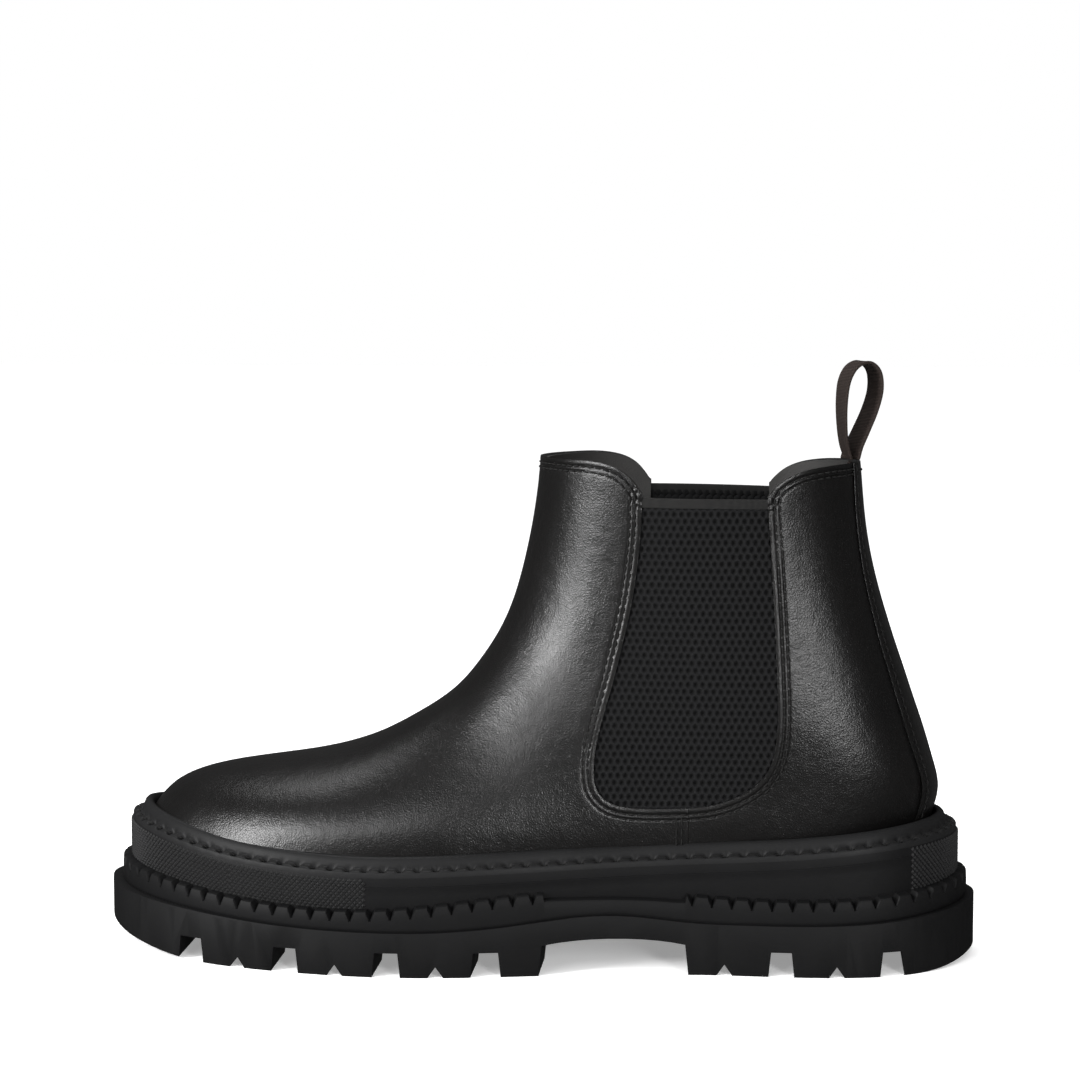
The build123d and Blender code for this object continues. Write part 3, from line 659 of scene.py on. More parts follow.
# %% Threads
def stitched(name, runs, radius, lift=0.45):
    """Stitches as short arched rods, thin where they enter the leather.
    Each run is (start, end, up), in metres."""
    turns, along = np.linspace(0, 2 * math.pi, 8), np.linspace(-1, 1, 7)
    girth = np.sqrt(np.clip(1 - (0.93 * along) ** 4, 0, 1))
    arch = np.cos(along * math.pi / 2)
    bpy.ops.mesh.primitive_grid_add(x_subdivisions=7, y_subdivisions=6, size=1)
    rod = bpy.context.object
    shape = [
        [(x, g * math.cos(t), g * math.sin(t) + a) for t in turns]
        for x, g, a in zip(along, girth, arch)
    ]
    rod.data.vertices.foreach_set("co", np.array(shape).reshape(-1))
    in_edit_mode(
        rod,
        (bpy.ops.mesh.remove_doubles, {"threshold": 0.0001}),
        (bpy.ops.mesh.select_all, {"action": "DESELECT"}),
        (bpy.ops.mesh.select_non_manifold, {}),
        (bpy.ops.mesh.edge_face_add, {}),
    )
    places = []
    for start, end, up in runs:
        start, end, up = np.array(start), np.array(end), np.array(up)
        half = (end - start) / 2
        side = np.cross(up, half)
        side *= radius / np.linalg.norm(side)
        over = np.cross(half, side)
        over *= radius / np.linalg.norm(over)
        places.append(((start + end) / 2 - over * lift, half, side, over))
    return stamp(name, rod, places)


# %% Welt stitches
runs = []
for i in range(stitch_count):
    ends = []
    for part in (0.59, 1.41):
        place = ((i + part) % stitch_count) / stitch_count * RING
        flat = around(outline, [place])[0] + around(outward, [place])[0] * (4.3 * MM - WALL)
        ends.append((*flat, around(foot_z, [place])[0] + 1.75 * MM))
    runs.append((ends[0], ends[1], (*(around(outward, [place])[0] * 0.6), 0.8)))
welt_thread = stitched("welt_thread", runs, 0.45 * MM)
finish(welt_thread, thread, "thread", replaces=["welt_stitches"], smooth=60)

# %% [markdown]
# ## Outsole
#
# The outsole is one moulding: blocks along both edges with channels and small V cuts between
# them, and star-shaped lugs down the middle. Those shapes are exact in the CAD, and modelling
# them again would only bring mistakes. What CAD lacks is the soft edge that every moulded lug
# has. So a copy is merged, its flat faces are dissolved into whole ones, and a Bevel rounds
# the edges. The dissolve has to come first, or the bevel would follow every loose triangle.

# %% Outsole
source = nodes["outsole"].data
tread = bpy.data.objects.new("outsole_tread", source.copy())
bpy.context.scene.collection.objects.link(tread)
tread.data.transform(nodes["outsole"].matrix_world)
in_edit_mode(
    tread,
    (bpy.ops.mesh.remove_doubles, {"threshold": 0.00002}),
    (bpy.ops.mesh.dissolve_limited, {"angle_limit": math.radians(1.5)}),
)
apply(tread, "BEVEL", width=0.0006, segments=2, limit_method="ANGLE", angle_limit=math.radians(35))
finish(tread, sole_rubber, "outsole_rubber", replaces=["outsole"], smooth=35)

# %% [markdown]
# ## Upper
#
# The leather is in two panels, one round the toe and up the front of the shaft, and one round
# the heel. They meet in a short seam under the elastic. A shoemaker cuts them flat and pulls
# them over the last. Cloth simulation could do the same, but lasted leather is tight and keeps
# no fold, so the result is known already: it is the skin of the last.
#
# Each panel therefore starts as a sheet laid over the whole skin, is thickened inwards, and is
# cut with a block in the shape of its side view, as a pattern cutter would. The lines below
# are those side views, in millimetres, x towards the heel and z up.

# %% Side view of the panels
GUSSET_FRONT = [(38.0, 164.0), (37.4, 149.0), (34.7, 128.2), (29.3, 104.0), (23.7, 83.0), (21.8, 70.0)]
GUSSET_FOOT = [(23.6, 61.5), (31.0, 56.8), (48.0, 56.0), (64.0, 57.6), (76.0, 63.0)]
GUSSET_BACK = [(82.6, 71.0), (85.0, 84.0), (84.6, 105.0), (82.9, 135.0), (81.0, 162.6)]
TOPLINE_FRONT = [(0.7, 176.0), (8.0, 176.0), (20.0, 175.8), (28.5, 174.0), (34.0, 170.4), (38.2, 164.2)]
TOPLINE_BACK = [(112.2, 174.7), (110.0, 174.6), (100.0, 173.9), (91.0, 172.0), (84.0, 168.0), (80.8, 162.8)]
SEAM_X = 54.5

gusset_outline = smooth_path(GUSSET_FRONT + GUSSET_FOOT + GUSSET_BACK, 400) * MM
turn_at = int(np.argmin(np.abs(gusset_outline[:, 0] - SEAM_X * MM) + (gusset_outline[:, 1] > 0.06)))
seam_top = [SEAM_X * MM, 0.0562]
front_edge = np.vstack([gusset_outline[:turn_at], [seam_top]])
back_edge = np.vstack([[seam_top], gusset_outline[turn_at + 1 :]])[::-1]
print("edge of the elastic", round(lengths(gusset_outline)[-1], 4))

# %% [markdown]
# The rays need one closed skin, but the CAD has panels with narrow gaps, and an elastic that
# lies a little deeper. A remesh could close them and would blur the edges. It is simpler to
# bring the elastic out to the leather's level and to cast four more rays beside each one.


# %% A skin to lay things on
LEATHER_NODES = ("vamp", "shaft_front", "quarter_lateral", "quarter_medial")


def whole_skin():
    """The upper's outer skin. The elastic lies a little inside it, and is brought out to it."""
    verts, faces = [], []
    sink = {"elastic_gusset": 0.0003, "gusset_binding": 0.0001}
    for name in nodes:
        if name not in LEATHER_NODES and not name.startswith(tuple(sink)):
            continue
        out = next((depth for start, depth in sink.items() if name.startswith(start)), 0.0)
        mesh = nodes[name].data
        first = len(verts)
        verts += [v.co + Vector((0, math.copysign(out, v.co.y), 0)) for v in mesh.vertices]
        faces += [[first + i for i in p.vertices] for p in mesh.polygons]
    return BVHTree.FromPolygons(verts, faces)


skin = whole_skin()
SHAKE = 0.0005  # how far beside a ray its four neighbours run
print("skin ready")


# %% [markdown]
# The rows of a sheet run level round the boot. Near the top they follow the topline, and near
# the foot they follow the welt's bead, so that both edges of the sheet come out smooth. Each
# point of a row is where a level ray, at the row's height, meets the skin.


# %% Rows round the boot
def bead_line(x):
    """Height of the welt's bead beside the leather, at x."""
    half = outline[:, 1] < 0
    order = np.argsort(ring_x[half])
    return float(np.interp(x, ring_x[half][order], bead_top[half][order]))


def level_hit(x, z_of, toward, angle):
    """Where a level ray towards the boot's middle meets the skin, at the height z_of gives."""
    z = z_of(x)
    hit = None
    away = Vector((toward * math.cos(angle), math.sin(angle), 0))
    for _ in range(4):
        found = cast(skin, Vector((x, 0, z)) + away * 0.3, -away, SHAKE)
        if found is None:
            z -= 0.0008
            continue
        hit = found
        z = z_of(hit[0])
    return None if hit is None else np.array([hit[0], hit[1], z])


def sheet_rows(centre_line, side_line, top, toward, reach, shares):
    """Rows of a sheet, from the lateral side line round to the medial one. centre_line and
    side_line are (x, z) paths from the top down; toward is -1 for the toe and 1 for the heel."""
    rows = []
    for share in shares:
        a = at(centre_line, [share * lengths(centre_line)[-1]])[0]
        c = at(side_line, [share * lengths(side_line)[-1]])[0]
        near_top = math.exp(-((share / 0.16) ** 2))
        near_foot = max(0.0, (share - 0.45) / 0.55) ** 2
        low_a, low_c = bead_line(centre_line[-1][0]), bead_line(side_line[-1][0])

        def z_of(x, a=a, c=c, near_top=near_top, near_foot=near_foot):
            t = min(1.0, max(0.0, (x - a[0]) / (c[0] - a[0])))
            z = a[1] + (c[1] - a[1]) * t + near_top * np.interp(t, top[0], top[1])
            foot_x = centre_line[-1][0] * (1 - t) + side_line[-1][0] * t
            return float(z + near_foot * (bead_line(foot_x) - low_a * (1 - t) - low_c * t))

        tip = a[0] - toward * min(reach, 0.5 * abs(c[0] - a[0]))
        halves = []
        for side in (-1, 1):
            line = [
                level_hit(x, z_of, toward, side * math.pi / 2) for x in np.linspace(c[0], tip, 48)
            ]
            line += [
                level_hit(tip, z_of, toward, side * turn)
                for turn in np.linspace(math.pi / 2, 0, 40)[1:]
            ]
            halves.append(np.array([p for p in line if p is not None]))
        rows.append(halves)
    return rows


def soothed(grid):
    """The grid with its inner points moved halfway to the middle of their four neighbours."""
    for _ in range(2):
        beside = grid[:-2, 1:-1] + grid[2:, 1:-1] + grid[1:-1, :-2] + grid[1:-1, 2:]
        grid[1:-1, 1:-1] = 0.5 * grid[1:-1, 1:-1] + 0.125 * beside
    return grid


def sheet_grid(rows, columns):
    """The same number of columns in every row, evenly spaced."""
    grid = [
        np.vstack([even(lateral, columns), even(medial, columns)[::-1][1:]])
        for lateral, medial in rows
    ]
    return soothed(np.array(grid))


def top_shape(topline, side_x):
    """How far the topline bulges over the straight line from its middle to the side."""
    line = smooth_path(topline, 60) * MM
    line = np.vstack([line, [[side_x, line[-1][1]]]])
    share = (line[:, 0] - line[0][0]) / (line[-1][0] - line[0][0])
    return share, line[:, 1] - (line[0][1] + (line[-1][1] - line[0][1]) * share)


# %% Sheets over the front and the back
TIP_Y = 7.0 * MM  # the toe's tip lies this far to the medial side
top_front, top_back = smooth_path(TOPLINE_FRONT, 80) * MM, smooth_path(TOPLINE_BACK, 80) * MM
front_line = [cast(skin, (-0.3, 0, z * MM), (1, 0, 0), SHAKE) for z in np.linspace(176.0, 96.0, 40)]
for x in np.linspace(-28, -134, 50):
    beside = TIP_Y * min(1, max(0, (-x - 50) / 80))
    front_line.append(cast(skin, (x * MM, beside, 0.3), (0, 0, -1), SHAKE))
front_line += [cast(skin, (-0.3, TIP_Y, z * MM), (1, 0, 0), SHAKE) for z in np.linspace(55.0, 46.0, 5)]
front_line = even([p[[0, 2]] for p in front_line], 300)
back_line = [cast(skin, (0.3, 0, z * MM), (-1, 0, 0), SHAKE) for z in np.linspace(174.6, 47.0, 60)]
back_line = even([p[[0, 2]] for p in back_line], 300)
FRONT_SIDE, BACK_SIDE = 57.0 * MM, 50.0 * MM
front_side = even([[FRONT_SIDE, top_front[-1][1]], [FRONT_SIDE, bead_line(FRONT_SIDE) - 3 * MM]], 50)
back_side = even([[BACK_SIDE, top_back[-1][1]], [BACK_SIDE, bead_line(BACK_SIDE) - 3 * MM]], 50)
front_top, back_top = top_shape(TOPLINE_FRONT, FRONT_SIDE), top_shape(TOPLINE_BACK, BACK_SIDE)
front_rows = sheet_rows(front_line, front_side, front_top, -1, 30 * MM, np.linspace(0, 1, 34))
back_rows = sheet_rows(back_line, back_side, back_top, 1, 25 * MM, np.linspace(0, 1, 28))
front_grid, back_grid = sheet_grid(front_rows, 25), sheet_grid(back_rows, 20)
print("front sheet", front_grid.shape, "back sheet", back_grid.shape)


# %% [markdown]
# An edge that is turned under and sewn is not flat: it has a soft lip, and the thread pulls a
# furrow into the leather along each row. A sculpting brush would do for one boot. Here the
# mesh is cut finer only near the edge, and every point is raised or sunk by its distance from
# the edge, so that lip and furrows keep their width all the way round.


# %% Sewn edges
def distance_to(path, points):
    """Distance of each (x, z) point to a path of (x, z) points."""
    best = np.full(len(points), 1.0)
    for a, b in zip(path, path[1:]):
        run = b - a
        t = np.clip(((points - a) @ run) / max(run @ run, 1e-14), 0, 1)
        best = np.minimum(best, np.linalg.norm(points - a - t[:, None] * run, axis=1))
    return best


FINE_ENOUGH = 0.55 * MM
EDGE_AT = np.array([0.0, 0.5, 1.2, 1.7, 2.2, 2.7, 3.1, 3.5, 4.0, 4.5, 6.5, 10.0]) * MM
EDGE_HIGH = np.array([-0.05, 0.12, 0.16, 0.04, -0.20, 0.03, 0.10, 0.02, -0.18, 0.05, 0.06, 0.0]) * MM


def select_faces(obj, chosen):
    """Leaves obj in edit mode with the chosen faces selected."""
    select_only(obj)
    bpy.ops.object.mode_set(mode="EDIT")
    bpy.ops.mesh.select_all(action="DESELECT")
    bpy.ops.mesh.select_mode(type="FACE")
    bpy.ops.object.mode_set(mode="OBJECT")
    obj.data.polygons.foreach_set("select", chosen)
    bpy.ops.object.mode_set(mode="EDIT")


def leave_edit_mode():
    bpy.ops.mesh.select_mode(type="VERT")
    bpy.ops.object.mode_set(mode="OBJECT")


def detailed(obj, edges):
    """Cuts the sheet finer near its sewn edges, then raises and sinks it along them."""
    for reach in (7 * MM, 5 * MM):
        mesh = obj.data
        centres = np.array([p.center for p in mesh.polygons])
        near = np.minimum.reduce([distance_to(path, centres[:, [0, 2]]) for path in edges]) < reach
        near &= np.array([p.area for p in mesh.polygons]) > FINE_ENOUGH**2
        select_faces(obj, near)
        bpy.ops.mesh.subdivide(number_cuts=1, smoothness=1.0)
        leave_edit_mode()
    points = np.array([v.co for v in obj.data.vertices])
    normals = np.array([v.normal for v in obj.data.vertices])
    flat = points[:, [0, 2]]
    high = np.zeros(len(points))
    for path in edges:
        high += np.interp(distance_to(path, flat), EDGE_AT, EDGE_HIGH)
    obj.data.vertices.foreach_set("co", (points + normals * high[:, None]).reshape(-1))
    obj.data.update()


# %% Cutting to a pattern
def facing_out(obj):
    """Turns the sheet's faces to point away from the boot's inside."""
    sides = [p for p in obj.data.polygons if abs(p.center.y) > 0.01]
    if sum(p.area * p.normal.y * math.copysign(1, p.center.y) for p in sides) < 0:
        in_edit_mode(obj, (bpy.ops.mesh.flip_normals, {}))


def cutter(path):
    """A block across the boot in the shape of a side view."""
    bpy.ops.mesh.primitive_circle_add(vertices=len(path), radius=1, fill_type="NGON")
    block = bpy.context.object
    points = np.array([(x, -0.12, z) for x, z in path])
    block.data.vertices.foreach_set("co", points.reshape(-1))
    in_edit_mode(
        block,
        (bpy.ops.mesh.extrude_region_move, {"TRANSFORM_OT_translate": {"value": (0, 0.24, 0)}}),
        (bpy.ops.mesh.select_all, {"action": "SELECT"}),
        (bpy.ops.mesh.normals_make_consistent, {"inside": False}),
    )
    return block


def cut_to(obj, path):
    """Keeps what is inside the side view."""
    block = cutter(path)
    apply(obj, "BOOLEAN", operation="INTERSECT", object=block, solver="MANIFOLD")
    bpy.data.objects.remove(block)


def pattern_of(edge, top_x, far_x, gap):
    """A panel's side view: over the boot, down the sewn edge, down the seam, and back."""
    seam_x = SEAM_X * MM + gap
    below = [[seam_x, seam_top[1]], [seam_x, 0.02], [far_x, 0.02]]
    return np.vstack([[[far_x, 0.2], [top_x, 0.2]], edge[:-1], below])


FRONT_PATTERN = pattern_of(front_edge, 0.038, -0.2, -0.0001)
BACK_PATTERN = pattern_of(back_edge, 0.0808, 0.2, 0.0001)


def moved_in(obj, depth):
    """Sets each point in from the surface by its own depth."""
    normals = np.array([v.normal for v in obj.data.vertices])
    points = np.array([v.co for v in obj.data.vertices])
    obj.data.vertices.foreach_set("co", (points - normals * np.array(depth)[:, None]).reshape(-1))


def panel(name, grid, thickness, pattern, edges, depth=None):
    """A sheet of leather cut to its pattern. depth sets it in from the skin, for a lining."""
    obj = laid_grid(name, grid)
    facing_out(obj)
    if depth is not None:
        moved_in(obj, depth)
    rounds = 2 if edges else 1
    corners = {"use_limit_surface": False, "boundary_smooth": "PRESERVE_CORNERS"}
    apply(obj, "SUBSURF", levels=rounds, render_levels=rounds, **corners)
    if edges:
        detailed(obj, edges)
    apply(obj, "SOLIDIFY", thickness=thickness, offset=-1.0)
    cut_to(obj, pattern)
    return obj


# %% [markdown]
# ## Front and back panels
#
# The front panel crosses the hinge at the instep, because a real boot opens by its leather
# folding there. It could be split at the hinge, and would then show a gap. It is kept whole,
# attached to no body, with its transform baked into its mesh, and so are its lining, the
# elastic, its tape and the front stitches.


def bends(obj):
    """Bakes the object's transform into its mesh."""
    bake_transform(obj)


LEATHER_THICK = 1.95 * MM
RIM = {"segments": 2, "limit_method": "ANGLE", "angle_limit": math.radians(50)}
UPPER = {"material": upper_leather, "slot": "upper_leather", "smooth": 45, "recalculate": False}
front_panel = panel("front_panel", front_grid, LEATHER_THICK, FRONT_PATTERN, [top_front, front_edge])
apply(front_panel, "BEVEL", width=0.0004, **RIM)
finish(front_panel, body=None, replaces=["vamp", "shaft_front"], **UPPER)
bends(front_panel)
back_panel = panel("back_panel", back_grid, LEATHER_THICK, BACK_PATTERN, [top_back, back_edge])
apply(back_panel, "BEVEL", width=0.0004, **RIM)
finish(back_panel, replaces=["quarter_lateral", "quarter_medial"], **UPPER)

# %% [markdown]
# ## Linings
#
# A boot is lined with thin soft leather, glued to the upper at the topline and lying over the
# stiffeners lower down. It shows inside the collar. A thicker outer panel could stand in for
# it, but the edge would then be one slab instead of two leathers. The same sheets are used
# again, set in by the leather's thickness at the top and by a stiffener's more below.


# %% Linings
def lining(name, grid, pattern):
    """A panel set in from the skin, further in as it goes down."""
    drop = np.linalg.norm(grid - grid[:1], axis=2)
    depth = np.interp(drop, np.array([0, 6, 18]) * MM, np.array([1.9, 2.1, 3.2]) * MM).reshape(-1)
    lowered = grid.copy()
    lowered[0, :, 2] -= 0.5 * MM
    return panel(name, lowered, 1.0 * MM, pattern, [], depth=depth)


INNER = {"material": lining_leather, "slot": "lining_leather", "recalculate": False}
front_lining = lining("front_lining", front_grid, FRONT_PATTERN)
finish(front_lining, body=None, replaces=["vamp_lining", "shaft_front_lining"], **INNER)
bends(front_lining)
back_lining = lining("back_lining", back_grid, BACK_PATTERN)
finish(back_lining, replaces=["quarter_lining_lateral", "quarter_lining_medial"], **INNER)

# %% [markdown]
# ## Elastic
#
# Elastic for boots is woven with rubber threads that draw the yarn together, which leaves
# rows of small hollows, every other row shifted by half a step. A bump map would look flat
# from the side. The hollows are two and a half millimetres apart, big enough to model: each
# is pressed into a grid with seven points to a rib. The grid is laid by rays from the side,
# and what lies under the leather beyond the sewing margin is deleted.

# %% Elastic
RIB, ROW = 2.53 * MM, 2.45 * MM
TOP_Z, FOOT_Z, FRONT_X, BACK_X = 161.0 * MM, 52.0 * MM, 17.0 * MM, 89.0 * MM
across = np.arange(FRONT_X, BACK_X, RIB / 7)
down = np.arange(TOP_Z, FOOT_Z, -ROW / 6)


def hollow(x, z):
    """How deep the weave is pressed in at (x, z), from 0 to 1."""
    row = np.floor(z / ROW)
    u = (x / RIB + 0.5 * (row % 2)) % 1.0 - 0.5
    v = (z / ROW) % 1.0 - 0.5
    away = np.sqrt((u * RIB / (0.86 * MM)) ** 2 + (v * ROW / (1.08 * MM)) ** 2)
    return np.clip(1.15 - away, 0, 1) ** 0.7


def side_depths(side, xs, zs):
    """The skin's y over a grid, from rays on a coarser one."""
    cx, cz = np.linspace(FRONT_X, BACK_X, 22), np.linspace(TOP_Z, FOOT_Z, 26)
    coarse = [[cast(skin, (x, side * 0.3, z), (0, -side, 0), SHAKE)[1] for x in cx] for z in cz]
    coarse = soothed(np.array(coarse))
    by_row = np.array([np.interp(xs, cx, row) for row in coarse])
    return np.array([np.interp(zs, cz[::-1], by_row[::-1, i]) for i in range(len(xs))]).T


def within(loop, points):
    """Which of the (x, z) points lie inside the closed loop."""
    inside = np.zeros(len(points), bool)
    for (x0, z0), (x1, z1) in zip(loop, np.roll(loop, -1, 0)):
        crosses = (z0 > points[:, 1]) != (z1 > points[:, 1])
        inside ^= crosses & (points[:, 0] < x0 + (points[:, 1] - z0) * (x1 - x0) / (z1 - z0 + 1e-15))
    return inside


# %% Lay and trim the elastic
SIDES = ((-1, "lateral"), (1, "medial"))
MARGIN = 3.5 * MM  # how far the elastic goes in under the leather
inside_edge = np.vstack([front_edge, back_edge[::-1][1:]])
opening = np.vstack([inside_edge, [[0.0808, 0.2], [0.038, 0.2]]])
for side, name in SIDES:
    y = side_depths(side, across, down)
    xs, zs = np.meshgrid(across, down)
    y = y - side * (0.65 * MM + 0.8 * MM * hollow(xs, zs))
    cloth = laid_grid(f"elastic_{name}", np.stack([xs, y, zs], axis=2))
    facing_out(cloth)
    centres = np.array([p.center for p in cloth.data.polygons])[:, [0, 2]]
    far = distance_to(inside_edge, centres) > MARGIN
    select_faces(cloth, far & ~within(opening, centres))
    bpy.ops.mesh.delete(type="FACE")
    leave_edit_mode()
    apply(cloth, "SOLIDIFY", thickness=0.9 * MM, offset=-1.0)
    shade = cloth.data.attributes.new("hollow", "FLOAT", "POINT")
    places = np.array([v.co for v in cloth.data.vertices])
    shade.data.foreach_set("value", hollow(places[:, 0], places[:, 2]))
    finish(
        cloth,
        elastic_cloth,
        "elastic",
        body=None,
        replaces=[f"elastic_gusset_{name}"],
        smooth=50,
        recalculate=False,
    )
    bends(cloth)

# %% [markdown]
# A tape folded over the top edge keeps the elastic from fraying. It could be a box with
# rounded edges. A ring of points in the shape of a flattened circle, carried along the edge
# and closed at both ends, follows the bow of the elastic and needs no bevel.

# %% Tape along the top of the elastic
TAPE_DEEP, TAPE_HIGH = 0.85 * MM, 1.75 * MM  # half sizes
for side, name in SIDES:
    xs = np.linspace(36.5, 82.3, 60) * MM
    line = []
    for x in xs:
        z = (163.6 - (x / MM - 38.6) * 0.012) * MM
        spot = cast(skin, (x, side * 0.3, 0.1595), (0, -side, 0), SHAKE)
        around_tape = []
        for turn in np.linspace(0, 2 * math.pi, 21):
            out, up = math.cos(turn), math.sin(turn)
            out = math.copysign(abs(out) ** 0.55, out) * TAPE_DEEP
            up = math.copysign(abs(up) ** 0.35, up) * TAPE_HIGH
            around_tape.append((x, spot[1] - side * (1.05 * MM - out), z - TAPE_HIGH + up))
        line.append(around_tape)
    tape = laid_grid(f"elastic_tape_{name}", line, closed=True)
    in_edit_mode(
        tape,
        (bpy.ops.mesh.select_all, {"action": "DESELECT"}),
        (bpy.ops.mesh.select_non_manifold, {}),
        (bpy.ops.mesh.edge_face_add, {}),
    )
    finish(tape, tape_cloth, "tape", body=None, replaces=[f"gusset_binding_{name}"], smooth=50)
    bends(tape)

# %% [markdown]
# ## Stitching of the upper
#
# Two rows of small stitches hold leather, elastic and lining together round the gusset and
# along the topline. They could be a texture, but the thread stands up a third of a millimetre
# and its shadow makes the seam. Their lines are parallel curves of the pattern's edge in side
# view, carried onto the skin by rays, so they lie in the furrows made before.


# %% Lines for the stitches
def parallel(path, distance, side):
    """The (x, z) path moved sideways, without the parts that come too near it."""
    fine = even(path, 500)
    run = np.gradient(fine, axis=0)
    run /= np.linalg.norm(run, axis=1, keepdims=True)
    moved = fine + side * distance * np.column_stack([-run[:, 1], run[:, 0]])
    return moved[distance_to(fine, moved) > 0.97 * distance]


def skin_point(x, z, side):
    """The skin at (x, z) on one side of the boot, or None."""
    return cast(skin, (x, side * 0.3, z), (0, -side, 0), SHAKE)


def sewing_line(grid, path, distance, turn, round_from, toward):
    """A line round the panel from one lower corner to the other, distance from its edge."""
    beside = parallel(path, distance, turn)
    beside = beside[(beside[:, 0] - round_from) * toward < 0]
    sides = [[skin_point(x, z, side) for x, z in beside] for side in (-1, 1)]
    sides = [np.array([p for p in line if p is not None]) for line in sides]
    middle = np.array([at(grid[:, c], [distance])[0] for c in range(grid.shape[1])])
    middle = middle[(middle[:, 0] - round_from) * toward > 0]
    return np.vstack([sides[0][::-1], middle, sides[1]])


STITCH, GAP = 3.0 * MM, 0.22  # a stitch's pitch, and the share of it between two stitches
ROWS = (2.2 * MM, 4.0 * MM)
THREAD = 0.30 * MM


def along_skin(line, start=0.0, end=0.0, sink=0.0):
    """Stitch runs along a line, from its start to its end less those lengths."""
    line = np.array(line)
    total = lengths(line)[-1] - start - end
    number = max(1, int(total / STITCH))
    runs = []
    for k in range(number):
        first, last = k + 0.5 * GAP, k + 1 - 0.5 * GAP
        ends = at(line, [start + first * total / number, start + last * total / number])
        _, normal, _, _ = skin.find_nearest(Vector(ends.mean(axis=0)))
        middle = ends.mean(axis=0)
        from_inside = (middle - np.array([0.045, 0, middle[2]])) * (0.3, 1, 0)
        out = np.array(normal) * math.copysign(1, np.dot(normal, from_inside))
        runs.append((ends[0] - out * sink, ends[1] - out * sink, out))
    return runs


# %% Stitches along the topline and the elastic
front_path = np.vstack([top_front, front_edge[4:]])
back_path = np.vstack([top_back, back_edge[4:]])
front_runs, back_runs = [], []
for distance in ROWS:
    front_runs += along_skin(sewing_line(front_grid, front_path, distance, -1, 10 * MM, -1))
    back_sewing = sewing_line(back_grid, back_path, distance, 1, 104 * MM, 1)
    back_runs += along_skin(back_sewing, sink=-0.1 * MM)
print("stitches", len(front_runs), len(back_runs))
front_thread = stitched("front_stitches", front_runs, THREAD)
finish(front_thread, thread, "thread", body=None, smooth=60)
bends(front_thread)
back_thread = stitched("back_stitches", back_runs, THREAD)
finish(back_thread, thread, "thread", smooth=60)

# %% [markdown]
# Front and back panel meet in a short seam under the elastic, sewn with two rows of its own.
# It is only some ten millimetres long, so straight lines down the skin are enough.

# %% Side seam
seam_runs = []
for side in (-1, 1):
    for x in (52.2, 50.4):
        line = [skin_point(x * MM, z, side) for z in np.linspace(0.0535, 0.042, 12)]
        seam_runs += along_skin([p for p in line if p is not None], sink=-0.25 * MM)
seam_thread = stitched("seam_stitches", seam_runs, THREAD)
finish(seam_thread, thread, "thread", smooth=60)

# %% [markdown]
# ## Backstay
#
# A strip of the same leather covers the seam at the heel. It widens towards the sole, where
# the heel pulls hardest, and is stitched along both edges. It could be cut out of a copy of
# the heel panel and thickened. A sheet of its own gives edges that follow its sides exactly:
# rays fan out from the heel's middle, each row is as wide as the strip is there, and the
# columns near the edges are closer, for the rim and the furrow of the stitches.

# %% Backstay
STAY_Z = np.array([174.5, 150.0, 110.0, 80.0, 47.0])
STAY_HALF = np.array([9.5, 11.5, 16.5, 18.5, 16.5])
half_columns = np.array([0.25, 0.5, 0.7, 0.8, 0.87, 0.92, 0.965, 1])
half_rim = np.array([1.0, 1.0, 1.0, 0.85, 0.7, 0.8, 0.6, 0.2]) * MM
STAY_COLUMNS = np.concatenate([-half_columns[::-1], [0], half_columns])
STAY_RIM = np.concatenate([half_rim[::-1], [1.0 * MM], half_rim])


def stay_row(z, heel_x):
    """Points over the heel at height z, from the lateral edge of the strip to the medial."""
    half = np.interp(z / MM, STAY_Z[::-1], STAY_HALF[::-1]) * MM
    line = []
    for turn in np.linspace(-1.45, 1.45, 60):
        away = Vector((math.cos(turn), math.sin(turn), 0))
        line.append(cast(skin, Vector((heel_x - 0.024, 0, z)) + away * 0.2, -away, SHAKE))
    line = np.array([p for p in line if p is not None])
    order = np.argsort(line[:, 1])
    line = line[order]
    ys = half * STAY_COLUMNS
    return np.column_stack([np.interp(ys, line[:, 1], line[:, 0]), ys, np.full(len(ys), z)])


# %% Lay the backstay
stay_grid = []
for z in np.linspace(174.3, 48.0, 44) * MM:
    heel_x = np.interp(-z, -back_line[:, 1], back_line[:, 0])
    stay_grid.append(stay_row(z, heel_x))
stay_grid = np.array(stay_grid)
stay_grid[1:-1] = 0.5 * stay_grid[1:-1] + 0.25 * (stay_grid[:-2] + stay_grid[2:])
backstay = laid_grid("backstay_strip", stay_grid)
facing_out(backstay)
normals = np.array([v.normal for v in backstay.data.vertices]).reshape(stay_grid.shape)
backstay.data.vertices.foreach_set("co", (stay_grid + normals * STAY_RIM[None, :, None]).reshape(-1))
apply(backstay, "SUBSURF", levels=2, render_levels=2, boundary_smooth="PRESERVE_CORNERS")
apply(backstay, "SOLIDIFY", thickness=1.1 * MM, offset=-1.0)
apply(backstay, "BEVEL", width=0.00035, **RIM)
finish(backstay, replaces=["backstay"], **UPPER)

# %% Backstay stitches
stay_runs = []
for column in (3, 13):
    line = stay_grid[:, column] + normals[:, column] * 0.85 * MM
    stay_runs += along_skin(line, start=0.5 * MM, end=2 * MM, sink=0.1 * MM)
stay_runs += along_skin(stay_grid[1, 4:13] + normals[1, 4:13] * 1.02 * MM)
stay_thread = stitched("backstay_stitches", stay_runs, THREAD)
finish(stay_thread, thread, "thread", smooth=60)

